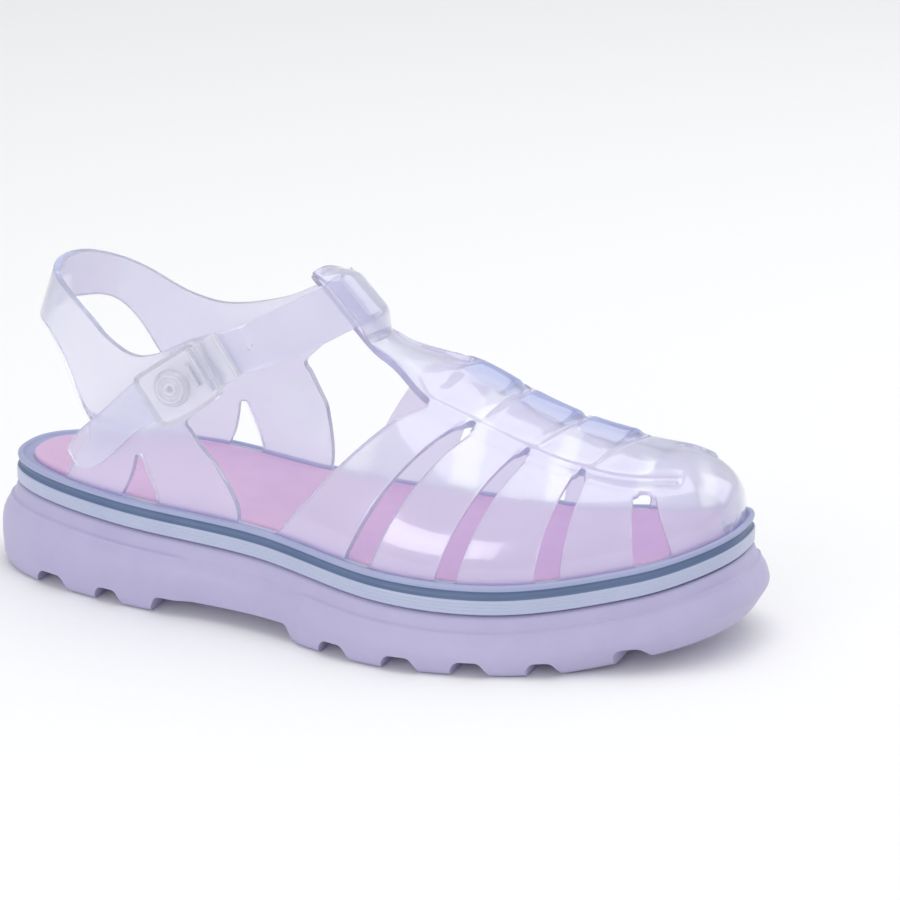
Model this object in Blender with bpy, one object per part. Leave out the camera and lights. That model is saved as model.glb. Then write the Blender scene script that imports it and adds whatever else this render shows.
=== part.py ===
"""A child's clear jelly sandal, right shoe, about EU 27.

A moulded outsole with cut lugs, a welt that frames it, an insole, and one clear moulded upper:
toe cap, four cross straps a side woven over the spine, T-bar with its loop, quarters, heel band
and the ankle strap that runs through the loop to the buckle. Toe to +X, lateral side to -Y, up +Z.
"""

import math

import bmesh
import bpy
import numpy as np
from mathutils import Matrix, Vector

# Sole, measured along and across the top edge of the outsole
SOLE_LENGTH = 0.184
BALL_WIDTH = 0.066
HEEL_HEIGHT = 0.0211
OUTLINE_POWER = 2.5

# Side of the outsole
FLARE = 0.0042
WAIST_FLARE = 0.0030
PANEL_DROP = 0.0036
FLARE_DROP = 0.0090
EDGE_ROUND = 0.0010
TOE_SPRING = 0.0086
TOE_BEVEL = 0.0030
HEEL_SPRING = 0.0012
GROOVE_DEPTH = 0.0037
ARCH_DEPTH = 0.0043

# Welt: a band, a groove and a lip, with a recess for upper and insole
WELT_HEIGHT = 0.0072
BAND_HEIGHT = 0.0039
BAND_BULGE = 0.00035
GROOVE_HEIGHT = 0.0018
GROOVE_INSET = 0.0007
GROOVE_EASE = 0.0002
LIP_WIDTH = 0.0015
LIP_ROUND = 0.0005
RECESS_DEPTH = 0.0040

# Upper: one clear moulding
WALL = 0.0018
GAP = 0.0003
BASE_WIDTH = 0.0062
RIM_DROP = 0.0003
INSTEP_HEIGHT = 0.0600
TOE_FULLNESS = 3.0
TOE_START = 0.0660
BEAD_RISE = 0.0007
PLATE_RISE = 0.0011
LUG_RISE = 0.0021

# Ankle: the oval that heel band and strap follow, at their lower and upper edges
ANKLE_CENTRE = -0.0430
ANKLE_HEIGHT = 0.0805
LOW_FRONT = 0.0450
LOW_REAR = 0.0408
LOW_HALF = 0.371 * BALL_WIDTH
HIGH_FRONT = 0.0360
HIGH_REAR = 0.0366
HIGH_HALF = 0.364 * BALL_WIDTH
STRAP_STANDOFF = 0.0028
TIP_WIDTH = 0.55

# Loop at the T-bar's end: half its turn, its ends as shares of the strap's height, and how far
# the upper end falls to the medial side
LOOP_HALF_TURN = 17.0
LOOP_LOW = -0.35
LOOP_HIGH = 1.30
LOOP_LEAN = 0.20
COVER_WALL = 0.0013

# T-bar: its arch between spine and strap, and how far its medial edge flares there
T_BAR_CROWN = 0.0022
T_BAR_FLARE = 0.0030

# Windows in the quarters
WINDOW_LEAN = 0.0012
WINDOW_PINCH = 0.80

# Insole
INSOLE_THICKNESS = 0.0018
INSOLE_ROUND = 0.0006

# Buckle
BUCKLE_LENGTH = 0.0190
BUCKLE_WIDTH = 0.0138
BUCKLE_DROP = 0.0006
BUCKLE_THICKNESS = 0.0030
BUCKLE_RIM = 0.0018
BUCKLE_CORNER = 0.0030
BUCKLE_RECESS = 0.0012
BUCKLE_TURN = 441.0
STUD_RADIUS = 0.0036
STUD_RISE = 0.0014
STUD_SHIFT = 0.0020

# station along half the length, then shares of the ball width, then a share of the heel height
SOLE_TABLE = (
    # station, lateral, medial, swing, top
    (-1.0, 0.417, 0.419, 0.000, 1.000),
    (-0.6, 0.426, 0.467, 0.007, 0.896),
    (-0.2, 0.427, 0.350, -0.003, 0.822),
    (0.2, 0.574, 0.420, -0.004, 0.693),
    (0.5, 0.558, 0.499, 0.015, 0.655),
    (0.8, 0.494, 0.552, 0.064, 0.826),
    (1.0, 0.542, 0.547, 0.117, 1.090),
)

# station along half the length, ridge's side as a share of the ball width, its height as a share
# of the instep height, fullness of each side, and the spine's two edges as shares of each side
RIDGE_TABLE = (
    # station, side, height, lateral full, medial full, near edge, far edge
    (0.15, 0.090, 1.040, 1.75, 2.3, 0.42, 0.05),
    (0.30, 0.106, 0.960, 1.78, 2.3, 0.45, 0.05),
    (0.45, 0.106, 0.860, 1.90, 2.3, 0.48, 0.06),
    (0.60, 0.106, 0.790, 2.00, 2.3, 0.54, 0.09),
    (0.75, 0.106, 0.750, 2.20, 2.4, 0.62, 0.20),
    (0.88, 0.108, 0.740, 2.40, 2.4, 0.59, 0.45),
    (1.00, 0.115, 0.735, 2.40, 2.4, 0.59, 0.50),
)

# where each piece of the upper starts, as stations along half the length, from heel to toe
COLUMN_TABLE = (
    # piece, cells, lateral foot, medial foot, lateral spine, medial spine
    ("heel", 5, -1.000, -1.000, None, None),
    ("rear leg", 3, -0.790, -0.750, None, None),
    ("window", 2, -0.605, -0.525, None, None),
    ("front leg", 4, -0.487, -0.405, None, None),
    ("side", 2, -0.254, -0.200, None, None),
    ("strap 1", 4, -0.136, -0.100, 0.196, 0.250),
    ("slot 1", 2, 0.077, 0.115, 0.315, 0.375),
    ("strap 2", 4, 0.155, 0.190, 0.353, 0.413),
    ("slot 2", 2, 0.336, 0.370, 0.467, 0.543),
    ("strap 3", 4, 0.392, 0.425, 0.495, 0.571),
    ("slot 3", 2, 0.577, 0.610, 0.609, 0.696),
    ("strap 4", 3, 0.637, 0.665, 0.641, 0.728),
    ("slot 4", 2, 0.800, 0.815, 0.755, 0.804),
    ("cap", 3, 0.885, 0.890, 0.800, 0.837),
    ("toe", 3, 0.955, 0.955, 0.859, 0.880),
)
SLOTS = ("slot 1", "slot 2", "slot 3", "slot 4")
SLOT_4_TOP = 0.88

# heel band and strap by their turn about the ankle, edges as shares of the ankle height
BAND_TABLE = (
    # turn, lower edge, upper edge, stand-off
    (69.0, 0.725, 0.860, 0.0),
    (76.0, 0.660, 0.845, 0.0),
    (83.0, 0.585, 0.820, 0.0),
    (97.0, 0.560, 0.768, 0.0),
    (110.0, 0.560, 0.805, 0.0),
    (118.0, 0.575, 0.850, 0.0),
    (128.0, 0.700, 0.890, 0.0),
    (140.0, 0.780, 0.925, 0.0),
    (160.0, 0.800, 0.950, 0.0),
    (180.0, 0.803, 0.959, 0.0),
    (200.0, 0.800, 0.945, 0.0),
    (220.0, 0.780, 0.907, 0.0),
    (232.0, 0.700, 0.870, 0.0),
    (242.0, 0.575, 0.828, 0.0),
    (250.0, 0.560, 0.798, 0.0),
    (263.0, 0.560, 0.775, 0.0),
    (277.0, 0.575, 0.795, 0.0),
    (290.0, 0.620, 0.828, 0.0),
    (300.0, 0.700, 0.865, 0.0),
    (315.0, 0.785, 0.915, 0.0),
    (335.0, 0.862, 0.978, 0.0),
    (360.0, 0.885, 1.000, 0.0),
    (380.0, 0.870, 0.985, 0.0),
    (400.0, 0.818, 0.945, 0.5),
    (415.0, 0.773, 0.900, 0.9),
    (429.0, 0.730, 0.857, 1.0),
    (442.0, 0.645, 0.795, 1.0),
    (455.0, 0.555, 0.720, 1.0),
    (468.0, 0.460, 0.622, 1.05),
    (480.0, 0.375, 0.505, 1.1),
)

# grooves between the lugs: ends as stations along half the length
GROOVE_TABLE = (
    # rear end, front end
    (-0.853, -0.739),
    (-0.656, -0.566),
    (0.035, 0.133),
    (0.220, 0.323),
    (0.397, 0.495),
    (0.575, 0.655),
    (0.765, 0.850),
)
ARCH_ENDS = (-0.478, -0.053)

HALF_LENGTH = SOLE_LENGTH / 2
WALL_INSET = LIP_WIDTH + GAP + WALL / 2
INSOLE_INSET = LIP_WIDTH + 2 * GAP + WALL
BASE_LEVEL = WELT_HEIGHT - RECESS_DEPTH + GAP + WALL / 2
INSOLE_LEVEL = BASE_LEVEL + WALL / 2 + GAP
LATERAL, MEDIAL = -1, 1

# The upper's grids: shares across the spine, and rows and columns of the others
SPINE_ROWS = (0.0, 0.09, 0.30, 0.50, 0.70, 0.90, 1.0)
FAN_ROWS = 9
BAND_ROWS = 4
LEG_ROWS = 8
WINDOW_ROWS = 5
LOOP_ROWS = 6
COVER_ROWS = 12
T_BAR_CELLS = 5
LOOP_DROP = WALL + GAP

# Turns about the ankle at which the legs' rear and front edges join the heel band
NECK_TURNS = {LATERAL: (118.0, 83.0), MEDIAL: (242.0, 290.0)}


def read(table, column, at):
    """Reads one column of a table between its rows, on a smooth curve through them."""
    stations = [row[0] for row in table]
    values = [row[column] for row in table]
    at = min(max(at, stations[0]), stations[-1])
    last = len(stations) - 1
    i = max(0, min(last - 1, sum(station <= at for station in stations) - 1))

    def slope(j):
        if j in (0, last):
            a, b = (0, 1) if j == 0 else (last - 1, last)
        else:
            a, b = j - 1, j + 1
        return (values[b] - values[a]) / (stations[b] - stations[a])

    span = stations[i + 1] - stations[i]
    s = (at - stations[i]) / span
    rise = values[i + 1] - values[i]
    first, second = slope(i) * span, slope(i + 1) * span
    return values[i] + s * (first + s * (3 * rise - 2 * first - second + s * (first + second - 2 * rise)))


def ease(s):
    s = min(max(s, 0.0), 1.0)
    return s * s * (3 - 2 * s)


def top_edge(x):
    """Height of the outsole's top edge."""
    return HEEL_HEIGHT * read(SOLE_TABLE, 4, x / HALF_LENGTH)


def spring(x):
    """How far the tread curves up off the floor at toe and heel."""
    toe = max(0.0, (x - 0.62 * HALF_LENGTH) / (0.43 * HALF_LENGTH))
    heel = max(0.0, (-x - 0.87 * HALF_LENGTH) / (0.15 * HALF_LENGTH))
    return TOE_SPRING * toe ** 1.5 + HEEL_SPRING * heel ** 2


def edge_point(angle):
    """Plan of the outsole's top edge, angle 0 at the toe, positive on the medial side."""
    power = 2 / OUTLINE_POWER
    station = math.copysign(abs(math.cos(angle)) ** power, math.cos(angle))
    side = 2 if math.sin(angle) > 0 else 1
    reach = BALL_WIDTH * read(SOLE_TABLE, side, station) * abs(math.sin(angle)) ** power
    swing = BALL_WIDTH * read(SOLE_TABLE, 3, station)
    return Vector((station * HALF_LENGTH, math.copysign(reach, math.sin(angle)) + swing, 0))


def outline(angle, offset):
    """Plan point at a distance outside the top edge."""
    step = 0.004
    tangent = edge_point(angle + step) - edge_point(angle - step)
    outward = Vector((tangent.y, -tangent.x, 0)).normalized()
    return edge_point(angle) + outward * offset


def foot_angle(station, side):
    cosine = math.copysign(abs(station) ** (OUTLINE_POWER / 2), station)
    return side * math.acos(cosine)


def column_angles(side):
    """Angles of the upper's columns, from heel to the toe tip, and the piece that each starts."""
    column = 2 if side == LATERAL else 3
    stations = [row[column] for row in COLUMN_TABLE] + [1.0]
    angles, pieces = [], []
    for row, start, end in zip(COLUMN_TABLE, stations, stations[1:]):
        first, last = foot_angle(start, side), foot_angle(end, side)
        for cell in range(row[1]):
            angles.append(first + (last - first) * cell / row[1])
            pieces.append(row[0])
    return angles, pieces


LATERAL_ANGLES, PIECES = column_angles(LATERAL)
MEDIAL_ANGLES, _ = column_angles(MEDIAL)
HALF_COUNT = len(PIECES)
LOOP_ANGLES = [0.0] + MEDIAL_ANGLES[:0:-1] + [math.pi] + LATERAL_ANGLES[1:]


def sole_middle():
    """Middle of the outsole's breadth, which the finished shoe has at y = 0."""
    breadth = [outline(angle, FLARE).y for angle in LOOP_ANGLES]
    return (min(breadth) + max(breadth)) / 2


SOLE_MIDDLE = sole_middle()


def start_of(piece):
    return PIECES.index(piece)


def material(name, color, roughness, transmission=0.0):
    made = bpy.data.materials.new(name)
    made.use_nodes = True
    shader = made.node_tree.nodes["Principled BSDF"]
    shader.inputs["Base Color"].default_value = (*color, 1.0)
    shader.inputs["Roughness"].default_value = roughness
    shader.inputs["Metallic"].default_value = 0.0
    shader.inputs["Transmission Weight"].default_value = transmission
    made.diffuse_color = (*color, 1.0)
    return made


def finish(bm, name, made, smooth=40.0):
    """Turns a bmesh into a shaded object of its own."""
    bmesh.ops.translate(bm, verts=bm.verts, vec=(0, -SOLE_MIDDLE, 0))
    bmesh.ops.triangulate(bm, faces=bm.faces)
    bmesh.ops.recalc_face_normals(bm, faces=bm.faces)
    mesh = bpy.data.meshes.new(name)
    bm.to_mesh(mesh)
    bm.free()
    mesh.shade_smooth()
    mesh.set_sharp_from_angle(angle=math.radians(smooth))
    piece = bpy.data.objects.new(name, mesh)
    bpy.context.scene.collection.objects.link(piece)
    if made:
        mesh.materials.append(made)
    return piece


def guide(piece):
    piece.hide_render = True
    piece.display_type = "WIRE"


def combine(piece, other, operation):
    modifier = piece.modifiers.new(operation.lower(), "BOOLEAN")
    modifier.operation = operation
    modifier.object = other
    modifier.solver = "EXACT"


def ring(bm, offset_of, height_of):
    """A closed loop of vertices round the shoe, from the toe tip by the medial side."""
    loop = []
    for angle in LOOP_ANGLES:
        point = outline(angle, offset_of(edge_point(angle).x))
        point.z = height_of(point.x)
        loop.append(bm.verts.new(point))
    return loop


def skirt(bm, lower, upper):
    count = len(lower)
    for i in range(count):
        j = (i + 1) % count
        bm.faces.new((lower[i], lower[j], upper[j], upper[i]))


def lid(bm, loop):
    """Closes a loop with strips across the shoe, so that lids of one plan are parallel."""
    count = len(loop)
    half = count // 2
    bm.faces.new((loop[0], loop[1], loop[-1]))
    for i in range(1, half - 1):
        bm.faces.new((loop[i], loop[i + 1], loop[count - i - 1], loop[count - i]))
    bm.faces.new((loop[half - 1], loop[half], loop[half + 1]))


def turned(sections, name, made):
    """A solid from loops of (offset, height) given as functions of x, lowest centre first."""
    bm = bmesh.new()
    loops = [ring(bm, offset_of, height_of) for offset_of, height_of in sections]
    for lower, upper in zip(loops, loops[1:]):
        skirt(bm, lower, upper)
    lid(bm, loops[0])
    lid(bm, loops[-1])
    return finish(bm, name, made)


def panel(x):
    """1 on the raised side panels at heel and forefoot, 0 at the arch between them."""
    heel = ease((-0.36 * HALF_LENGTH - x) / (0.05 * HALF_LENGTH))
    fore = ease((x + 0.06 * HALF_LENGTH) / (0.05 * HALF_LENGTH))
    return max(heel, fore)


def build_outsole():
    lavender = material("lavender_rubber", (0.48, 0.44, 0.68), 0.55)
    shoulder = 0.26 * FLARE
    step = PANEL_DROP + 0.7 * EDGE_ROUND

    def bulge(x):
        return WAIST_FLARE + (FLARE - WAIST_FLARE) * panel(x)

    def foot(x):
        return bulge(x) - TOE_BEVEL * ease((x - 0.45 * HALF_LENGTH) / (0.35 * HALF_LENGTH))

    sections = (
        (lambda x: foot(x) - 1.3 * EDGE_ROUND, spring),
        (lambda x: foot(x) - 0.5 * EDGE_ROUND, lambda x: spring(x) + EDGE_ROUND),
        (lambda x: 0.6 * bulge(x) + 0.4 * foot(x), lambda x: spring(x) + 3.3 * EDGE_ROUND),
        (bulge, lambda x: top_edge(x) - FLARE_DROP),
        (lambda x: shoulder + 0.16 * FLARE * panel(x), lambda x: top_edge(x) - step),
        (lambda x: shoulder, lambda x: top_edge(x) - PANEL_DROP),
        (lambda x: 0.4 * shoulder, lambda x: top_edge(x) - EDGE_ROUND),
        (lambda x: 0.0, lambda x: top_edge(x) - GAP / 2),
    )
    outsole = turned(sections, "outsole", lavender)
    combine(outsole, build_grooves(), "DIFFERENCE")
    return outsole


def build_grooves():
    """The grooves between the lugs and the hollow under the arch, cut straight across."""
    bm = bmesh.new()
    cuts = [(rear, front, GROOVE_DEPTH, 0.30) for rear, front in GROOVE_TABLE]
    cuts.append((*ARCH_ENDS, ARCH_DEPTH, 0.06))
    for rear, front, depth, slant in cuts:
        rear, front = rear * HALF_LENGTH, front * HALF_LENGTH
        span = front - rear
        roof = depth + spring((rear + front) / 2)
        floor = -0.5 * GROOVE_DEPTH
        profile = (
            (rear - 0.03 * span, floor),
            (front + 0.05 * span, floor),
            (front, spring(front)),
            (front - slant * span, roof),
            (rear + 0.45 * slant * span, roof),
            (rear, roof - 0.45 * depth),
        )
        corners = [bm.verts.new((x, -BALL_WIDTH, z)) for x, z in profile]
        face = bm.faces.new(corners)
        grown = bmesh.ops.extrude_face_region(bm, geom=[face])
        moved = [item for item in grown["geom"] if isinstance(item, bmesh.types.BMVert)]
        bmesh.ops.translate(bm, verts=moved, vec=(0, 2 * BALL_WIDTH, 0))
    cutter = finish(bm, "groove_cutter", None)
    guide(cutter)
    return cutter


def build_welt():
    blue_grey = material("blue_grey_rubber", (0.40, 0.47, 0.66), 0.45)

    def above(height):
        return lambda x: top_edge(x) + height

    def out(offset):
        return lambda x: offset

    groove_top = BAND_HEIGHT + GROOVE_HEIGHT
    sections = (
        (out(0.0), above(GAP / 2)),
        (out(BAND_BULGE), above(0.5 * BAND_HEIGHT)),
        (out(0.4 * BAND_BULGE), above(BAND_HEIGHT)),
        (out(-GROOVE_INSET), above(BAND_HEIGHT + GROOVE_EASE)),
        (out(-GROOVE_INSET), above(groove_top - GROOVE_EASE)),
        (out(0.0), above(groove_top)),
        (out(0.0), above(WELT_HEIGHT - LIP_ROUND)),
        (out(-LIP_ROUND), above(WELT_HEIGHT)),
        (out(-LIP_WIDTH), above(WELT_HEIGHT)),
        (out(-LIP_WIDTH), above(WELT_HEIGHT - RECESS_DEPTH)),
    )
    return turned(sections, "welt", blue_grey)


def build_insole():
    pink = material("pink_foam", (0.72, 0.45, 0.70), 0.6)
    top = INSOLE_LEVEL + INSOLE_THICKNESS
    sections = (
        (lambda x: -INSOLE_INSET, lambda x: top_edge(x) + INSOLE_LEVEL),
        (lambda x: -INSOLE_INSET, lambda x: top_edge(x) + top - INSOLE_ROUND),
        (lambda x: -INSOLE_INSET - INSOLE_ROUND, lambda x: top_edge(x) + top),
    )
    return turned(sections, "insole", pink)


# The upper's middle surface


def side_profile(side):
    """The feather line of one side as y over x."""
    angles = [foot_angle(-1 + 2 * i / 160, side) for i in range(161)]
    points = [outline(angle, -WALL_INSET) for angle in angles]
    return [p.x for p in points], [p.y for p in points]


FEATHER = {side: side_profile(side) for side in (LATERAL, MEDIAL)}
TOE_TIP = outline(0.0, -WALL_INSET).x


def foot_height(x):
    return top_edge(x) + WELT_HEIGHT - RIM_DROP


def reach(x, side):
    ridge = BALL_WIDTH * read(RIDGE_TABLE, 1, x / HALF_LENGTH)
    return abs(np.interp(x, *FEATHER[side]) - ridge)


def skin_height(x, y):
    """Height of the vamp's middle surface over a plan point."""
    station = x / HALF_LENGTH
    ridge = BALL_WIDTH * read(RIDGE_TABLE, 1, station)
    side = MEDIAL if y > ridge else LATERAL
    fullness = read(RIDGE_TABLE, 3 if side == LATERAL else 4, station)
    share = min(abs(y - ridge) / reach(x, side), 1.0) if x < TOE_TIP else 1.0
    toe = min(max((x - TOE_START) / (TOE_TIP - TOE_START), 0.0), 1.0)
    dome = (1 - toe ** TOE_FULLNESS) ** (1 / TOE_FULLNESS)
    rise = (INSTEP_HEIGHT * read(RIDGE_TABLE, 2, station) - foot_height(x)) * dome
    return foot_height(x) + rise * (1 - share ** fullness) ** (1 / fullness)


def on_skin(x, y):
    return Vector((x, y, skin_height(x, y)))


def spine_edge(x, side):
    """Plan y of the spine's edge."""
    ridge = BALL_WIDTH * read(RIDGE_TABLE, 1, x / HALF_LENGTH)
    return ridge + side * reach(x, side) * read(RIDGE_TABLE, 5 if side == LATERAL else 6, x / HALF_LENGTH)


def foot_point(angle):
    point = outline(angle, -WALL_INSET)
    point.z = foot_height(point.x)
    return point


def spine_stations():
    """x of every column at the spine's lateral and medial edge, from strap 1 to the toe."""
    rows = [row for row in COLUMN_TABLE if row[4] is not None]
    lines = []
    for row, following in zip(rows, rows[1:]):
        for cell in range(row[1]):
            s = cell / row[1]
            near = row[4] + (following[4] - row[4]) * s
            far = row[5] + (following[5] - row[5]) * s
            lines.append((near * HALF_LENGTH, far * HALF_LENGTH))
    lines.append((rows[-1][4] * HALF_LENGTH, rows[-1][5] * HALF_LENGTH))
    return lines


SPINE_LINES = spine_stations()
VAMP_START = start_of("strap 1")
TOE_COLUMN = start_of("toe")


def spine_point(column, across):
    near_x, far_x = SPINE_LINES[column]
    x = near_x + (far_x - near_x) * across
    near, far = spine_edge(near_x, LATERAL), spine_edge(far_x, MEDIAL)
    return on_skin(x, near + (far - near) * across)


def spine_raise(column, across):
    """Beads along the spine's edges, and the woven plates that cross it."""
    if column is None:
        return BEAD_RISE if across in (0.0, 1.0) else 0.0
    index = VAMP_START + column
    before, after = PIECES[index - 1], PIECES[index]
    on_plate = after.startswith("strap") or before.startswith("strap")
    if across == 0.0:
        return BEAD_RISE
    if on_plate and across > 0.2:
        return PLATE_RISE + (LUG_RISE - PLATE_RISE) * ease((across - 0.5) / 0.5)
    return BEAD_RISE if across == 1.0 else 0.0


def patch(bm, columns, rows, place, raised=None, keep=None):
    """A grid of quads: place and raised take a column and a row, keep a cell of them."""
    layer = bm.verts.layers.float.get("raise") or bm.verts.layers.float.new("raise")
    made = bmesh.ops.create_grid(bm, x_segments=columns, y_segments=rows, size=0.5)["verts"]
    spots = {}
    for vert in made:
        spots[vert] = (round((vert.co.x + 0.5) * columns), round((vert.co.y + 0.5) * rows))
    faces = {face for vert in made for face in vert.link_faces}
    if keep:
        dropped = []
        for face in faces:
            corner = min(spots[vert][0] for vert in face.verts), min(spots[vert][1] for vert in face.verts)
            if not keep(*corner):
                dropped.append(face)
        bmesh.ops.delete(bm, geom=dropped, context="FACES")
    for vert, spot in spots.items():
        if vert.is_valid:
            vert.co = place(*spot)
            vert[layer] = raised(*spot) if raised else 0.0


def base_ring(bm):
    """The hidden margin that all feet stand on, and the low rim above it."""
    count = len(LOOP_ANGLES)

    def place(column, row):
        angle = LOOP_ANGLES[column % count]
        if row == 2:
            return foot_point(angle)
        point = outline(angle, -WALL_INSET - (BASE_WIDTH if row == 0 else 0.0))
        point.z = top_edge(point.x) + BASE_LEVEL
        return point

    patch(bm, count, 2, place)


def vamp_point(side, column, row):
    """Middle surface of the vamp's side: columns from strap 1 on, rows up from the feather line."""
    angles = LATERAL_ANGLES if side == LATERAL else MEDIAL_ANGLES
    foot = foot_point(angles[VAMP_START + column])
    if row == 0:
        return foot
    end = spine_point(column, 0.0 if side == LATERAL else 1.0)
    if row == FAN_ROWS:
        return end
    climb = row / FAN_ROWS
    x = foot.x + (end.x - foot.x) * climb ** 1.25
    x = min(x, max(end.x, TOE_TIP - 3 * GAP))
    ridge = BALL_WIDTH * read(RIDGE_TABLE, 1, x / HALF_LENGTH)
    fullness = read(RIDGE_TABLE, 3 if side == LATERAL else 4, x / HALF_LENGTH)
    end_share = abs(end.y - ridge) / reach(x, side)
    limit = math.acos(min(end_share, 1.0) ** (fullness / 2))
    share = math.cos(limit * climb) ** (2 / fullness)
    return on_skin(x, ridge + side * reach(x, side) * share)


def vamp_side(bm, side):
    """Cross straps and the side of the toe cap, from the feather line up to the spine."""
    def place(column, row):
        return vamp_point(side, column, row)

    def keep(column, row):
        piece = PIECES[VAMP_START + column]
        if piece == "slot 4":
            return row >= SLOT_4_TOP * FAN_ROWS
        return piece not in SLOTS

    def raised(column, row):
        return spine_raise(column, 0.0 if side == LATERAL else 1.0) if row == FAN_ROWS else 0.0

    patch(bm, TOE_COLUMN - VAMP_START, FAN_ROWS, place, raised, keep)


def toe_front(bm):
    """The front of the toe cap, from the feather line up to the end of the spine."""
    angles = LATERAL_ANGLES[TOE_COLUMN:] + [0.0] + MEDIAL_ANGLES[:TOE_COLUMN - 1:-1]
    last = len(SPINE_LINES) - 1

    def place(column, row):
        if column in (0, len(SPINE_ROWS) - 1):
            return vamp_point(LATERAL if column == 0 else MEDIAL, last, row)
        foot = foot_point(angles[column])
        if row == 0:
            return foot
        end = spine_point(last, SPINE_ROWS[column])
        if row == FAN_ROWS:
            return end
        inward = 1 - math.cos(math.pi / 2 * row / FAN_ROWS) ** 0.9
        plan = foot.lerp(end, inward)
        return on_skin(plan.x, plan.y)

    patch(bm, len(SPINE_ROWS) - 1, FAN_ROWS, place)


def spine(bm):
    def place(column, row):
        return spine_point(column, SPINE_ROWS[row])

    def raised(column, row):
        return spine_raise(column, SPINE_ROWS[row])

    patch(bm, len(SPINE_LINES) - 1, len(SPINE_ROWS) - 1, place, raised)


def ankle_point(turn, height):
    """Heel band and strap: turn in degrees from the front by the lateral side, height across it."""
    cosine, sine = math.cos(math.radians(turn)), math.sin(math.radians(turn))
    power = 1.0 if cosine > 0 else 0.87
    x_share = math.copysign(abs(cosine) ** power, cosine)
    y_share = math.copysign(abs(sine) ** power, sine)
    low_reach, high_reach = (LOW_FRONT, HIGH_FRONT) if cosine > 0 else (LOW_REAR, HIGH_REAR)
    low = Vector((ANKLE_CENTRE + low_reach * x_share, -LOW_HALF * y_share, 0))
    high = Vector((ANKLE_CENTRE + high_reach * x_share, -HIGH_HALF * y_share, 0))
    low.z = ANKLE_HEIGHT * read(BAND_TABLE, 1, turn)
    high.z = ANKLE_HEIGHT * read(BAND_TABLE, 2, turn)
    return low.lerp(high, height)


def ankle_normal(turn, height):
    along = ankle_point(turn + 0.5, height) - ankle_point(turn - 0.5, height)
    up = ankle_point(turn, height + 0.1) - ankle_point(turn, height - 0.1)
    return up.cross(along).normalized()


def band_point(turn, height):
    lift = STRAP_STANDOFF * read(BAND_TABLE, 3, turn)
    return ankle_point(turn, height) + ankle_normal(turn, height) * lift


def spread(start, end, count):
    return [start + (end - start) * i / count for i in range(count)]


LEG_PIECES = ("rear leg", "window", "front leg")
LEG_CELLS = sum(row[1] for row in COLUMN_TABLE if row[0] in LEG_PIECES)


def band_turns():
    """Turns of the heel band's columns, from its front end to the strap's free tip."""
    near_rear, near_front = NECK_TURNS[LATERAL]
    far_rear, far_front = NECK_TURNS[MEDIAL]
    stops = (
        # turn, cells to the next
        (BAND_TABLE[0][0], 2),
        (near_front, LEG_CELLS),
        (near_rear, 14),
        (far_rear, LEG_CELLS),
        (far_front, 6),
        (360.0 - LOOP_HALF_TURN, 6),
        (360.0 + LOOP_HALF_TURN, 7),
        (BUCKLE_TURN - 12.0, 7),
        (BAND_TABLE[-1][0], 0),
    )
    turns = []
    for (start, cells), (end, _) in zip(stops, stops[1:]):
        turns += spread(start, end, cells)
    return turns + [stops[-1][0]]


BAND_TURNS = band_turns()


def heel_band(bm):
    def place(column, row):
        turn = BAND_TURNS[column]
        height = row / BAND_ROWS
        if column == len(BAND_TURNS) - 1:
            height = 0.5 + (height - 0.5) * TIP_WIDTH
        return band_point(turn, height)

    patch(bm, len(BAND_TURNS) - 1, BAND_ROWS, place)


def quarter(bm, side):
    """The two legs of a quarter and the window between them, up to the heel band."""
    angles = LATERAL_ANGLES if side == LATERAL else MEDIAL_ANGLES
    first = start_of("rear leg")
    rear, front = NECK_TURNS[side]
    window_at = start_of("window") - first

    def place(column, row):
        foot = foot_point(angles[first + column])
        turn = rear + (front - rear) * column / LEG_CELLS
        neck = band_point(turn, 0.0)
        if row == 0:
            return foot
        if row == LEG_ROWS:
            return neck
        climb = row / LEG_ROWS
        rise = neck.z - foot.z
        lean = (band_point(turn, 0.1) - neck).normalized()
        start, end = Vector((0, 0, 0.9 * rise)), lean * rise
        point = (
            foot * (2 * climb ** 3 - 3 * climb ** 2 + 1) + start * (climb ** 3 - 2 * climb ** 2 + climb)
            + neck * (3 * climb ** 2 - 2 * climb ** 3) + end * (climb ** 3 - climb ** 2)
        )
        share = min(row / WINDOW_ROWS, 2 - row / WINDOW_ROWS)
        point.x += WINDOW_LEAN * share
        if abs(column - window_at - 1) == 1:
            centre = place(window_at + 1, row)
            point = point.lerp(Vector((centre.x, centre.y, point.z)), WINDOW_PINCH * share)
        return point

    def keep(column, row):
        return not (window_at <= column < window_at + 2 and row < WINDOW_ROWS)

    patch(bm, LEG_CELLS, LEG_ROWS, place, None, keep)


def loop_point(across, height, lift):
    """Points under and over the strap where the T-bar ends: across 0 is the lateral edge."""
    turn = 360.0 + LOOP_HALF_TURN * (1 - 2 * across)
    return ankle_point(turn, height) + ankle_normal(turn, height) * lift


def loop_top(across):
    return LOOP_HIGH - LOOP_LEAN * ease((across - 0.2) / 0.8)


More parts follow.
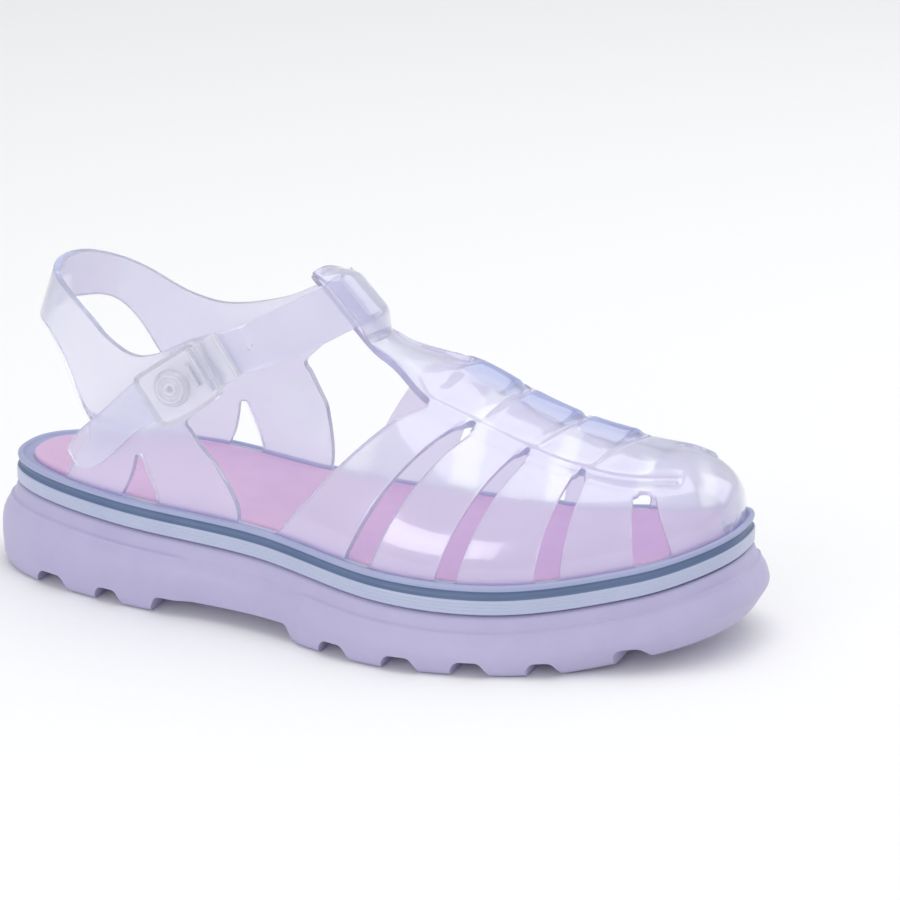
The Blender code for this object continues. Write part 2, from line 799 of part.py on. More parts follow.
def t_bar(bm):
    """From the spine up to the strap, then on behind the strap as the loop's inner side."""
    def place(column, row):
        across = SPINE_ROWS[row]
        start = spine_point(0, across)
        end = loop_point(across, LOOP_LOW, -LOOP_DROP)
        if column == T_BAR_CELLS:
            return start
        s = 1 - column / T_BAR_CELLS
        length = (end - start).length
        leave = (start - spine_point(1, across)).normalized() * length
        arrive = (loop_point(across, 0.0, -LOOP_DROP) - end).normalized() * length
        arch = Vector((0, T_BAR_FLARE * across ** 2, T_BAR_CROWN)) * math.sin(math.pi * s) ** 2
        return arch + (
            start * (2 * s ** 3 - 3 * s ** 2 + 1) + leave * (s ** 3 - 2 * s ** 2 + s)
            + end * (3 * s ** 2 - 2 * s ** 3) + arrive * (s ** 3 - s ** 2)
        )

    def raised(column, row):
        return spine_raise(None, SPINE_ROWS[row])

    patch(bm, T_BAR_CELLS, len(SPINE_ROWS) - 1, place, raised)

    def place_inner(column, row):
        across = SPINE_ROWS[row]
        height = LOOP_LOW + (loop_top(across) - LOOP_LOW) * (1 - column / LOOP_ROWS)
        return loop_point(across, height, -LOOP_DROP)

    patch(bm, LOOP_ROWS, len(SPINE_ROWS) - 1, place_inner)


def thicken(bm, wall=WALL):
    """Gives the middle surface its wall, raised on the outside where the layer says."""
    bmesh.ops.remove_doubles(bm, verts=bm.verts, dist=0.00002)
    loose = [vert for vert in bm.verts if not vert.link_faces]
    bmesh.ops.delete(bm, geom=loose, context="VERTS")
    bmesh.ops.recalc_face_normals(bm, faces=bm.faces)
    frontmost = max(bm.faces, key=lambda face: face.calc_center_median().x)
    if frontmost.normal.x < 0:
        bmesh.ops.reverse_faces(bm, faces=bm.faces)
    bm.normal_update()
    mark = bm.verts.layers.int.new("mark")
    layer = bm.verts.layers.float["raise"]
    normals = {vert: vert.normal.copy() for vert in bm.verts}
    factors = {vert: min(vert.calc_shell_factor(), 1.5) for vert in bm.verts}
    originals = list(bm.verts)
    for number, vert in enumerate(originals):
        vert[mark] = number
    grown = bmesh.ops.extrude_face_region(bm, geom=bm.faces[:], use_keep_orig=True)
    outer = [item for item in grown["geom"] if isinstance(item, bmesh.types.BMVert)]
    for vert in outer:
        source = originals[vert[mark]]
        vert.co = source.co + normals[source] * (wall / 2 * factors[source] + source[layer])
    for vert in originals:
        vert.co -= normals[vert] * (wall / 2 * factors[vert])


def build_upper():
    clear = material("clear_jelly", (0.86, 0.88, 0.96), 0.08, 0.9)
    bm = bmesh.new()
    base_ring(bm)
    for side in (LATERAL, MEDIAL):
        vamp_side(bm, side)
        quarter(bm, side)
    toe_front(bm)
    spine(bm)
    t_bar(bm)
    heel_band(bm)
    thicken(bm)
    upper = finish(bm, "upper", clear)
    combine(upper, build_loop_cover(), "UNION")
    return upper


def build_loop_cover():
    """The outer side of the loop: an arch over the strap, joined to the T-bar at both ends."""
    bm = bmesh.new()
    low = LOOP_LOW - 0.05
    start = LOOP_DROP - 0.35 * WALL

    def place(column, row):
        high = loop_top(SPINE_ROWS[column]) + 0.03
        height = low + (high - low) * row / COVER_ROWS
        climb = ease((height - low) / 0.34) * ease((high - height) / 0.30)
        lift = -start + climb * (start + WALL / 2 + GAP + COVER_WALL / 2)
        return loop_point(SPINE_ROWS[column], height, lift)

    patch(bm, len(SPINE_ROWS) - 1, COVER_ROWS, place)
    thicken(bm, COVER_WALL)
    cover = finish(bm, "loop_cover_form", None)
    guide(cover)
    return cover


def buckle_frame():
    """Axes at the buckle: along the strap, up across it, and outward."""
    centre = band_point(BUCKLE_TURN, 0.5)
    along = (band_point(BUCKLE_TURN - 4, 0.5) - band_point(BUCKLE_TURN + 4, 0.5)).normalized()
    outward = ankle_normal(BUCKLE_TURN, 0.5)
    up = outward.cross(along).normalized()
    outward = along.cross(up)
    return Matrix((along, up, outward)).transposed().to_4x4(), centre - up * BUCKLE_DROP


def build_buckle():
    glossy = material("clear_hard_plastic", (0.90, 0.92, 0.98), 0.05, 0.9)
    turn, centre = buckle_frame()
    seat = WALL / 2 + 2.2 * GAP
    bm = bmesh.new()
    bmesh.ops.create_cube(bm, size=1.0)
    bmesh.ops.scale(bm, verts=bm.verts, vec=(BUCKLE_LENGTH, BUCKLE_WIDTH, BUCKLE_THICKNESS))
    bmesh.ops.translate(bm, verts=bm.verts, vec=(0, 0, seat + BUCKLE_THICKNESS / 2))
    uprights = [edge for edge in bm.edges if abs(edge.verts[0].co.z - edge.verts[1].co.z) > GAP]
    bmesh.ops.bevel(
        bm, geom=uprights, offset=BUCKLE_CORNER, affect="EDGES", segments=4, profile=0.5, material=-1
    )
    top = max(bm.faces, key=lambda face: face.calc_center_median().z)
    bmesh.ops.inset_region(bm, faces=[top], thickness=BUCKLE_RIM)
    bmesh.ops.translate(bm, verts=top.verts[:], vec=(0, 0, -BUCKLE_RECESS))
    bmesh.ops.transform(bm, matrix=turn, verts=bm.verts)
    bmesh.ops.translate(bm, verts=bm.verts, vec=centre)
    frame = finish(bm, "buckle_frame", glossy, 30)

    bm = bmesh.new()
    bmesh.ops.create_cone(
        bm, cap_ends=True, segments=24, radius1=STUD_RADIUS, radius2=0.75 * STUD_RADIUS,
        depth=BUCKLE_RECESS + STUD_RISE,
    )
    base = seat + BUCKLE_THICKNESS - BUCKLE_RECESS + GAP
    bmesh.ops.translate(bm, verts=bm.verts, vec=(-STUD_SHIFT, 0, base + (BUCKLE_RECESS + STUD_RISE) / 2))
    crown = max(bm.faces, key=lambda face: face.calc_center_median().z)
    bmesh.ops.inset_region(bm, faces=[crown], thickness=0.4 * STUD_RADIUS)
    bmesh.ops.translate(bm, verts=crown.verts[:], vec=(0, 0, -0.5 * STUD_RISE))
    bmesh.ops.transform(bm, matrix=turn, verts=bm.verts)
    bmesh.ops.translate(bm, verts=bm.verts, vec=centre)
    return frame, finish(bm, "buckle_stud", glossy, 30)


def clear_scene():
    for existing in list(bpy.data.objects):
        bpy.data.objects.remove(existing, do_unlink=True)


clear_scene()
build_outsole()
build_welt()
build_insole()
build_upper()
build_buckle()
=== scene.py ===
import math

import bmesh
import bpy
import numpy as np
from mathutils import Matrix, Vector


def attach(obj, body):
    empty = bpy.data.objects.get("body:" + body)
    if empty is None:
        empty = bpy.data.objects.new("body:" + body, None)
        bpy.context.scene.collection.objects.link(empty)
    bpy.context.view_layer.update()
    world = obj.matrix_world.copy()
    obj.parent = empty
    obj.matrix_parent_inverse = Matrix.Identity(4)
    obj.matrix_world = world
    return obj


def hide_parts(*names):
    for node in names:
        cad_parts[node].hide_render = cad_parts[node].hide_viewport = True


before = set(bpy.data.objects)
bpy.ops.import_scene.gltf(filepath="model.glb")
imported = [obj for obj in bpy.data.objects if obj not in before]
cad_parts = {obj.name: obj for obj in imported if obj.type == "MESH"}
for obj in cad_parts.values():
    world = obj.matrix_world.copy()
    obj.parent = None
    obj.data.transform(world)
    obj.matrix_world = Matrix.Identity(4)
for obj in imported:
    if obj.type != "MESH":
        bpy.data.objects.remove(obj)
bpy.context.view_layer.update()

# The outsole: one moulding of foamed lavender rubber, with raised panels round heel and forefoot.
# Lugs and the hollow under the arch are cut straight across. It is glued under the welt.

SOLE_LENGTH = 0.184
BALL_WIDTH = 0.066
HEEL_HEIGHT = 0.0211
HALF_LENGTH = SOLE_LENGTH / 2
OUTLINE_POWER = 2.5
FLARE = 0.0042
WAIST_FLARE = 0.0030
PANEL_DROP = 0.0036
PANEL_STEP = 0.0009
FLARE_DROP = 0.0090
CREASE = 0.36
SHOULDER = 0.26 * FLARE
EDGE_ROUND = 0.0010
PANEL_ROUND = 0.0004
GROOVE_DEPTH = 0.0037
GROOVE_ROUND = 0.0009
TOE_SPRING = 0.0086
HEEL_SPRING = 0.0012
TOE_BEVEL = 0.0020
GAP = 0.0003
MERGE = 0.00002
LATERAL, MEDIAL = -1, 1

SOLE_TABLE = (
    # station, lateral, medial, swing, top
    (-1.0, 0.417, 0.419, 0.000, 1.000),
    (-0.6, 0.426, 0.467, 0.007, 0.896),
    (-0.2, 0.427, 0.350, -0.003, 0.822),
    (0.2, 0.574, 0.420, -0.004, 0.693),
    (0.5, 0.558, 0.499, 0.015, 0.655),
    (0.8, 0.494, 0.552, 0.064, 0.826),
    (1.0, 0.542, 0.547, 0.117, 1.090),
)
GROOVE_TABLE = (
    # rear end, front end, depth, slant
    (-0.853, -0.739, GROOVE_DEPTH, 0.30),
    (-0.656, -0.566, GROOVE_DEPTH, 0.30),
    (-0.478, -0.053, 0.0043, 0.06),
    (0.035, 0.133, GROOVE_DEPTH, 0.30),
    (0.220, 0.323, GROOVE_DEPTH, 0.30),
    (0.397, 0.495, GROOVE_DEPTH, 0.30),
    (0.575, 0.655, GROOVE_DEPTH, 0.30),
    (0.765, 0.850, GROOVE_DEPTH, 0.30),
)


def read(table, column, at):
    """Reads one column of a table between its rows, on a smooth curve through them."""
    stations = [row[0] for row in table]
    values = [row[column] for row in table]
    at = min(max(at, stations[0]), stations[-1])
    last = len(stations) - 1
    i = max(0, min(last - 1, sum(station <= at for station in stations) - 1))

    def slope(j):
        if j in (0, last):
            a, b = (0, 1) if j == 0 else (last - 1, last)
        else:
            a, b = j - 1, j + 1
        return (values[b] - values[a]) / (stations[b] - stations[a])

    span = stations[i + 1] - stations[i]
    s = (at - stations[i]) / span
    rise = values[i + 1] - values[i]
    first, second = slope(i) * span, slope(i + 1) * span
    square = 3 * rise - 2 * first - second
    cube = first + second - 2 * rise
    return values[i] + s * (first + s * (square + s * cube))


def ease(s):
    """0 below 0, 1 above 1, and a smooth climb between them."""
    s = min(max(s, 0.0), 1.0)
    return s * s * (3 - 2 * s)


def top_edge(x):
    return HEEL_HEIGHT * read(SOLE_TABLE, 4, x / HALF_LENGTH)


def spring(x):
    """How far the tread curves up off the floor at toe and heel."""
    toe = max(0.0, (x - 0.62 * HALF_LENGTH) / (0.43 * HALF_LENGTH))
    heel = max(0.0, (-x - 0.87 * HALF_LENGTH) / (0.15 * HALF_LENGTH))
    return TOE_SPRING * toe ** 1.5 + HEEL_SPRING * heel ** 2


def edge_point(angle):
    """Plan of the outsole's top edge, angle 0 at the toe, positive on the medial side."""
    power = 2 / OUTLINE_POWER
    station = math.copysign(abs(math.cos(angle)) ** power, math.cos(angle))
    side = 2 if math.sin(angle) > 0 else 1
    reach = BALL_WIDTH * read(SOLE_TABLE, side, station) * abs(math.sin(angle)) ** power
    swing = BALL_WIDTH * read(SOLE_TABLE, 3, station)
    return Vector((station * HALF_LENGTH, math.copysign(reach, math.sin(angle)) + swing, 0))


def outline(angle, offset):
    """Plan point at a distance outside the top edge."""
    step = 0.004
    tangent = edge_point(angle + step) - edge_point(angle - step)
    outward = Vector((tangent.y, -tangent.x, 0)).normalized()
    return edge_point(angle) + outward * offset


def foot_angle(station, side):
    """Angle of the edge point that lies at a station on one side."""
    cosine = math.copysign(abs(station) ** (OUTLINE_POWER / 2), station)
    return side * math.acos(cosine)


def panel(x, inset=0.0):
    """1 on the raised side panels at heel and forefoot, 0 at the arch between them."""
    heel = ease((-0.37 * HALF_LENGTH - inset - x) / (0.03 * HALF_LENGTH))
    fore = ease((x + 0.05 * HALF_LENGTH - inset) / (0.03 * HALF_LENGTH))
    return max(heel, fore)


def bulge(x):
    """How far the side stands out past the top edge."""
    return WAIST_FLARE + (FLARE - WAIST_FLARE) * panel(x)


def tread_edge(x, climb=0.0):
    """The side under the toe's crease, which turns in towards the tread."""
    return bulge(x) - (1 - climb) * TOE_BEVEL * ease((x - 0.45 * HALF_LENGTH) / (0.35 * HALF_LENGTH))


def crease(x):
    """Height of the crease above which the side leans out, and under which it turns in at the toe."""
    highest = top_edge(x) - FLARE_DROP - 0.6 * EDGE_ROUND
    return min(spring(x) + CREASE * (top_edge(x) - spring(x)), highest)


def panel_edge(inset, drop):
    """A ring of the panels' upper border: how far it draws in from their ends, and its drop."""
    def offset_of(x):
        return SHOULDER + PANEL_STEP * panel(x, inset)

    return offset_of, lambda x: top_edge(x) - PANEL_DROP - drop


SIDE_CELLS = 150
LID_ROWS = 6
SIDE_STATIONS = [-math.cos(math.pi * i / SIDE_CELLS) for i in range(SIDE_CELLS + 1)]
ROUND_ANGLES = (
    [foot_angle(station, MEDIAL) for station in SIDE_STATIONS[:0:-1]]
    + [foot_angle(station, LATERAL) for station in SIDE_STATIONS[:-1]]
)
SOLE_MIDDLE = (
    min(outline(angle, FLARE).y for angle in ROUND_ANGLES)
    + max(outline(angle, FLARE).y for angle in ROUND_ANGLES)
) / 2


def finish(bm, name, smooth=180.0):
    """Turns a bmesh into a piece in the shoe's place, shaded smooth."""
    bmesh.ops.translate(bm, verts=bm.verts, vec=(0, -SOLE_MIDDLE, 0))
    bmesh.ops.recalc_face_normals(bm, faces=bm.faces)
    mesh = bpy.data.meshes.new(name)
    bm.to_mesh(mesh)
    bm.free()
    mesh.shade_smooth()
    mesh.set_sharp_from_angle(angle=math.radians(smooth))
    piece = bpy.data.objects.new(name, mesh)
    bpy.context.scene.collection.objects.link(piece)
    return piece


def subdivide(piece, levels):
    modifier = piece.modifiers.new("soften", "SUBSURF")
    modifier.levels = modifier.render_levels = levels


def combine(piece, other, operation):
    other.hide_render = other.hide_viewport = True
    modifier = piece.modifiers.new(operation.lower(), "BOOLEAN")
    modifier.operation = operation
    modifier.object = other
    modifier.solver = "EXACT"


def soften_edges(piece, width, angle):
    modifier = piece.modifiers.new("edges", "BEVEL")
    modifier.width = width
    modifier.segments = 2
    modifier.limit_method = "ANGLE"
    modifier.angle_limit = math.radians(angle)


def patch(bm, columns, rows, place, raised=None, keep=None):
    """A grid of quads: place and raised take a column and a row, keep a cell of them."""
    layer = bm.verts.layers.float.get("raise") or bm.verts.layers.float.new("raise")
    made = bmesh.ops.create_grid(bm, x_segments=columns, y_segments=rows, size=0.5)["verts"]
    spots = {}
    for vert in made:
        spots[vert] = (round((vert.co.x + 0.5) * columns), round((vert.co.y + 0.5) * rows))
    faces = {face for vert in made for face in vert.link_faces}
    if keep:
        dropped = []
        for face in faces:
            column = min(spots[vert][0] for vert in face.verts)
            row = min(spots[vert][1] for vert in face.verts)
            if not keep(column, row):
                dropped.append(face)
        bmesh.ops.delete(bm, geom=dropped, context="FACES")
    for vert, spot in spots.items():
        if vert.is_valid:
            vert.co = place(*spot)
            vert[layer] = raised(*spot) if raised else 0.0


def turned(sections, name):
    """A solid round the shoe from rings of (offset, height) as functions of x, closed by two lids."""
    bm = bmesh.new()
    count = len(ROUND_ANGLES)

    def ring_point(angle, section):
        offset_of, height_of = sections[section]
        point = outline(angle, offset_of(edge_point(angle).x))
        point.z = height_of(point.x)
        return point

    def place_side(column, row):
        return ring_point(ROUND_ANGLES[column % count], row)

    patch(bm, count, len(sections) - 1, place_side)
    for section in (0, -1):
        def place_lid(column, row):
            lateral = ring_point(foot_angle(SIDE_STATIONS[column], LATERAL), section)
            medial = ring_point(foot_angle(SIDE_STATIONS[column], MEDIAL), section)
            point = lateral.lerp(medial, row / LID_ROWS)
            point.z = sections[section][1](point.x)
            return point

        patch(bm, SIDE_CELLS, LID_ROWS, place_lid)
    bmesh.ops.remove_doubles(bm, verts=bm.verts, dist=MERGE)
    return finish(bm, name)


def nodes_of(name):
    """A new material with nodes, and its shader."""
    made = bpy.data.materials.new(name)
    made.use_nodes = True
    return made, made.node_tree.nodes["Principled BSDF"]


def add_node(tree, kind, **values):
    """A new node with sockets set or linked; an underscore stands for the space in a socket's name."""
    node = tree.nodes.new(kind)
    for key, value in values.items():
        key = key.replace("_", " ")
        socket = node.inputs[key]
        if isinstance(value, bpy.types.NodeSocket):
            tree.links.new(value, socket)
        else:
            socket.default_value = value
    return node


def skin_group():
    """Fine skin of a moulded piece: a normal with grain on soft waves, and masks of both."""
    group = bpy.data.node_groups.new("moulded_skin", "ShaderNodeTree")
    face = group.interface
    for label, start in (("Grain Scale", 2600.0), ("Wave Scale", 90.0), ("Grain", 0.2), ("Wave", 0.1)):
        face.new_socket(label, in_out="INPUT", socket_type="NodeSocketFloat").default_value = start
    face.new_socket("Normal", in_out="OUTPUT", socket_type="NodeSocketVector")
    face.new_socket("Grain Mask", in_out="OUTPUT", socket_type="NodeSocketFloat")
    face.new_socket("Wave Mask", in_out="OUTPUT", socket_type="NodeSocketFloat")
    given = group.nodes.new("NodeGroupInput").outputs
    place = group.nodes.new("ShaderNodeTexCoord").outputs["Object"]
    waves = add_node(group, "ShaderNodeTexNoise", Vector=place, Scale=given["Wave Scale"], Detail=2.0)
    grain = add_node(group, "ShaderNodeTexNoise", Vector=place, Scale=given["Grain Scale"], Detail=4.0)
    low = add_node(
        group, "ShaderNodeBump", Height=waves.outputs[0], Strength=given["Wave"], Distance=0.0010
    )
    high = add_node(
        group, "ShaderNodeBump", Height=grain.outputs[0], Strength=given["Grain"], Distance=0.0002,
        Normal=low.outputs[0]
    )
    shown = group.nodes.new("NodeGroupOutput")
    group.links.new(high.outputs[0], shown.inputs["Normal"])
    group.links.new(grain.outputs[0], shown.inputs["Grain Mask"])
    group.links.new(waves.outputs[0], shown.inputs["Wave Mask"])
    return group


SKIN = skin_group()


def add_skin(tree, shader, **values):
    """The moulded skin on a shader, with any of the group's sockets set by name."""
    skin = tree.nodes.new("ShaderNodeGroup")
    skin.node_tree = SKIN
    for key, value in values.items():
        skin.inputs[key.replace("_", " ")].default_value = value
    tree.links.new(skin.outputs["Normal"], shader.inputs["Normal"])
    return skin


def add_mix(tree, mask, first, second):
    """A colour between two, each a tone or another node's output, by a mask."""
    mix = tree.nodes.new("ShaderNodeMix")
    mix.data_type = "RGBA"
    tree.links.new(mask, mix.inputs[0])
    for socket, value in ((mix.inputs[6], first), (mix.inputs[7], second)):
        if isinstance(value, tuple):
            socket.default_value = (*value, 1)
        else:
            tree.links.new(value, socket)
    return mix.outputs[2]


def moulded(name, dark, light, roughness, **skin_values):
    """A moulded material whose colour drifts between two tones, with grain in bump and gloss."""
    made, shader = nodes_of(name)
    tree = made.node_tree
    skin = add_skin(tree, shader, **skin_values)
    tree.links.new(add_mix(tree, skin.outputs["Wave Mask"], dark, light), shader.inputs["Base Color"])
    gloss = tree.nodes.new("ShaderNodeMapRange")
    gloss.inputs["To Min"].default_value = roughness - 0.06
    gloss.inputs["To Max"].default_value = roughness + 0.06
    tree.links.new(skin.outputs["Grain Mask"], gloss.inputs["Value"])
    tree.links.new(gloss.outputs[0], shader.inputs["Roughness"])
    return made, shader


def groove_cutter():
    """The hollows between the lugs and under the arch, each a rounded profile drawn across the sole."""
    bm = bmesh.new()
    for rear, front, depth, slant in GROOVE_TABLE:
        rear, front = rear * HALF_LENGTH, front * HALF_LENGTH
        span = front - rear
        roof = depth + spring((rear + front) / 2)
        profile = (
            (rear - 0.03 * span, -0.5 * depth),
            (front + 0.05 * span, -0.5 * depth),
            (front, spring(front)),
            (front - slant * span, roof),
            (rear + 0.45 * slant * span, roof),
            (rear, roof - 0.45 * depth),
        )
        corners = [bm.verts.new((x, -BALL_WIDTH, z)) for x, z in profile]
        bm.faces.new(corners)
        bmesh.ops.bevel(
            bm, geom=corners[3:], offset=GROOVE_ROUND, affect="VERTICES", segments=4, profile=0.5,
            material=-1
        )
        near = [face for face in bm.faces if abs(face.calc_center_median().y + BALL_WIDTH) < GAP]
        face = min(near, key=lambda face: abs(face.calc_center_median().x - (rear + front) / 2))
        grown = bmesh.ops.extrude_face_region(bm, geom=[face])
        moved = [item for item in grown["geom"] if isinstance(item, bmesh.types.BMVert)]
        bmesh.ops.translate(bm, verts=moved, vec=(0, 2 * BALL_WIDTH, 0))
    return finish(bm, "groove_cutter", 30)


outsole = turned((
    (lambda x: tread_edge(x) - 4.5 * EDGE_ROUND, spring),
    (lambda x: tread_edge(x) - 1.5 * EDGE_ROUND, spring),
    (lambda x: tread_edge(x) - 0.6 * EDGE_ROUND, lambda x: spring(x) + 0.8 * EDGE_ROUND),
    (lambda x: tread_edge(x, 0.1) - 0.3 * EDGE_ROUND, lambda x: spring(x) + 1.8 * EDGE_ROUND),
    (lambda x: tread_edge(x, 0.90), lambda x: crease(x) - 0.8 * EDGE_ROUND),
    (lambda x: tread_edge(x, 0.97), crease),
    (bulge, lambda x: top_edge(x) - FLARE_DROP),
    (
        lambda x: 0.62 * bulge(x) + 0.38 * (SHOULDER + PANEL_STEP),
        lambda x: top_edge(x) - 0.7 * FLARE_DROP,
    ),
    panel_edge(0.0, 2 * PANEL_ROUND),
    panel_edge(2 * PANEL_ROUND, PANEL_ROUND),
    panel_edge(5 * PANEL_ROUND, 0.5 * PANEL_ROUND),
    (lambda x: SHOULDER, lambda x: top_edge(x) - PANEL_DROP),
    (lambda x: 0.95 * SHOULDER, lambda x: top_edge(x) - PANEL_DROP + 0.3 * EDGE_ROUND),
    (lambda x: 0.4 * SHOULDER, lambda x: top_edge(x) - 1.4 * EDGE_ROUND),
    (lambda x: 0.0, lambda x: top_edge(x) - GAP / 2),
    (lambda x: -2 * EDGE_ROUND, lambda x: top_edge(x) - GAP / 2),
), "outsole_moulding")
subdivide(outsole, 1)
combine(outsole, groove_cutter(), "DIFFERENCE")
soften_edges(outsole, 0.5 * EDGE_ROUND, 38)
lavender, shader = moulded(
    "lavender_rubber", (0.425, 0.395, 0.60), (0.485, 0.45, 0.65), 0.50,
    Grain=0.30, Wave=0.25, Grain_Scale=1900.0, Wave_Scale=120.0
)
shader.inputs["Sheen Weight"].default_value = 0.15
outsole.data.materials.append(lavender)
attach(outsole, "root")
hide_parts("outsole")

# The welt: a blue-grey moulding that frames the upper, with a band, a steel-blue groove darkened by
# painted shade, and a thin lip.
# It is moulded in one with its floor, glued to the outsole, and the upper's feet sit in its recess.

WELT_HEIGHT = 0.0072
BAND_HEIGHT = 0.0039
BAND_BULGE = 0.00035
BAND_ROUND = 0.00025
RIBS = 4
RIB_PROFILE = ((0.0, 0.5), (0.3, 1.0), (0.6, 1.0))
RIB_START, RIB_SPAN = 0.08, 0.84
GROOVE_HEIGHT = 0.0018
GROOVE_INSET = 0.0007
LIP_WIDTH = 0.0015
LIP_ROUND = 0.0004
LIP_OVERHANG = 0.0001
RECESS_DEPTH = 0.0040
MARGIN_DROP = 0.0011


def above(height):
    """Height of a ring that keeps one distance over the outsole's top edge."""
    return lambda x: top_edge(x) + height


def out(offset):
    """Offset of a ring that keeps one distance outside the outsole's top edge."""
    return lambda x: offset


groove_top = BAND_HEIGHT + GROOVE_HEIGHT
ribs = []
for rib in range(RIBS):
    for share, rise in RIB_PROFILE:
        level = RIB_START + RIB_SPAN * (rib + share) / RIBS
        ribs.append((out(rise * BAND_BULGE), above(level * BAND_HEIGHT)))
welt = turned((
    (out(-2 * EDGE_ROUND), above(GAP / 2)),
    (out(-0.5 * LIP_ROUND), above(GAP / 2)),
    *ribs,
    (out(0.5 * BAND_BULGE), above(0.96 * BAND_HEIGHT)),
    (out(-0.8 * GROOVE_INSET), above(BAND_HEIGHT + BAND_ROUND)),
    (out(-GROOVE_INSET), above(BAND_HEIGHT + 0.5 * GROOVE_HEIGHT)),
    (out(-0.8 * GROOVE_INSET), above(groove_top - BAND_ROUND)),
    (out(LIP_OVERHANG), above(groove_top + LIP_OVERHANG)),
    (out(LIP_OVERHANG), above(WELT_HEIGHT - LIP_ROUND)),
    (out(-LIP_ROUND), above(WELT_HEIGHT)),
    (out(-LIP_WIDTH + LIP_ROUND), above(WELT_HEIGHT)),
    (out(-LIP_WIDTH), above(WELT_HEIGHT - LIP_ROUND)),
    (out(-LIP_WIDTH), above(WELT_HEIGHT - MARGIN_DROP)),
    (out(-LIP_WIDTH - 4 * EDGE_ROUND), above(WELT_HEIGHT - MARGIN_DROP)),
), "welt_moulding")
subdivide(welt, 1)
WELT_TONES = (
    # part, dark tone, light tone, roughness, coat
    ("welt_band", (0.42, 0.46, 0.63), (0.48, 0.52, 0.68), 0.32, 0.25),
    # the groove's own steel blue is darkened with painted shade, for the shade inside the recessed
    # groove
    ("welt_groove_painted_shade", (0.10, 0.15, 0.28), (0.14, 0.20, 0.34), 0.35, 0.0),
    ("welt_lip", (0.33, 0.36, 0.55), (0.39, 0.42, 0.62), 0.38, 0.0),
)
for name, dark, light, roughness, coat in WELT_TONES:
    tone, shader = moulded(name, dark, light, roughness, Grain=0.10, Wave=0.20)
    shader.inputs["Coat Weight"].default_value = coat
    welt.data.materials.append(tone)
for face in welt.data.polygons:
    level = face.center.z - top_edge(face.center.x)
    face.material_index = int(level > BAND_HEIGHT) + int(level > groove_top + 0.5 * LIP_OVERHANG)
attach(welt, "root")
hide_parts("welt")

# The insole: a soft pink foam sheet, cut to the shape of the sole and laid on the upper's feet.
# Its face has the fine closed grain of moulded foam.

WALL = 0.0018
INSOLE_THICKNESS = 0.0018
INSOLE_ROUND = 0.0006
WALL_INSET = LIP_WIDTH + GAP + WALL / 2
INSOLE_INSET = LIP_WIDTH + 2 * GAP + WALL
BASE_LEVEL = WELT_HEIGHT - RECESS_DEPTH + GAP + WALL / 2
INSOLE_LEVEL = BASE_LEVEL + WALL / 2 + GAP
INSOLE_TOP = INSOLE_LEVEL + INSOLE_THICKNESS

insole = turned((
    (out(-INSOLE_INSET - 2 * INSOLE_ROUND), above(INSOLE_LEVEL)),
    (out(-INSOLE_INSET - INSOLE_ROUND / 6), above(INSOLE_LEVEL)),
    (out(-INSOLE_INSET), above(INSOLE_LEVEL + 0.5 * INSOLE_THICKNESS)),
    (out(-INSOLE_INSET - 0.2 * INSOLE_ROUND), above(INSOLE_TOP - 0.5 * INSOLE_ROUND)),
    (out(-INSOLE_INSET - INSOLE_ROUND), above(INSOLE_TOP)),
    (out(-INSOLE_INSET - 3 * INSOLE_ROUND), above(INSOLE_TOP)),
), "insole_sheet")
subdivide(insole, 1)
pink, shader = moulded(
    "pink_foam", (0.61, 0.40, 0.61), (0.67, 0.455, 0.665), 0.62,
    Grain=0.55, Wave=0.10, Grain_Scale=1500.0, Wave_Scale=150.0
)
shader.inputs["Sheen Weight"].default_value = 0.2
insole.data.materials.append(pink)
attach(insole, "root")
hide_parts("insole")

# The upper: one clear soft moulding of toe cap, cross straps woven over the spine, T-bar and loop,
# quarters, heel band and ankle strap. Its wall is even, and all its edges are rounded by the mould.

INSTEP_HEIGHT = 0.0600
TOE_FULLNESS = 3.0
TOE_START = 0.0660
BASE_WIDTH = 0.0062
RIM_DROP = 0.0003
RIM_ROUND = 0.28
RIM_ANGLE = 0.9
WALL_SPREAD = 1.5
PROFILE_CELLS = 160
FAN_SWEEP = 1.25
TOE_SWEEP = 0.9
HEEL_SQUARENESS = 0.87
BEAD_RISE = 0.0010
BEAD_WIDTH = 0.10
PLATE_RISE = 0.0008
SCALE_SLOPE = 0.8
LUG_RISE = 0.0020
LUG_START, LUG_RAMP = 0.62, 0.30
ANKLE_CENTRE = -0.0430
ANKLE_HEIGHT = 0.0805
LOW_FRONT, LOW_REAR, LOW_HALF = 0.0450, 0.0408, 0.0245
HIGH_FRONT, HIGH_REAR, HIGH_HALF = 0.0360, 0.0366, 0.0240
STRAP_STANDOFF = 0.0028
TIP_COLUMNS = 3
TIP_ROUND = 0.4
TIP_LEAN = 14.0
TIP_TURNS = 36.0
LOOP_HALF_TURN = 17.0
LOOP_LOW = -0.35
LOOP_HIGH = 1.30
LOOP_LEAN = 0.20
COVER_WALL = 0.0011
COVER_FOOT, COVER_HEAD = 0.48, 0.38
COVER_SINK, COVER_REACH = 0.05, 0.03
T_BAR_CROWN = 0.0022
LOOP_DROP = WALL + GAP
WINDOW_LEAN = 0.0034
WINDOW_PINCH = 0.80
BUCKLE_TURN = 441.0
PIN_TURN = 418.0
PIN_HOLE = 0.0006
NECK_TURNS = {LATERAL: (118.0, 83.0), MEDIAL: (242.0, 290.0)}

FINER = 2
SPINE_ROWS = (0.0, 0.045, 0.09, 0.20, 0.30, 0.40, 0.50, 0.60, 0.70, 0.80, 0.90, 0.95, 1.0)
FAN_ROWS = 9 * FINER
BAND_ROWS = 6
LEG_ROWS = 8 * FINER
WINDOW_ROWS = 5 * FINER
LOOP_ROWS = 6 * FINER
COVER_ROWS = 24
T_BAR_CELLS = 5 * FINER

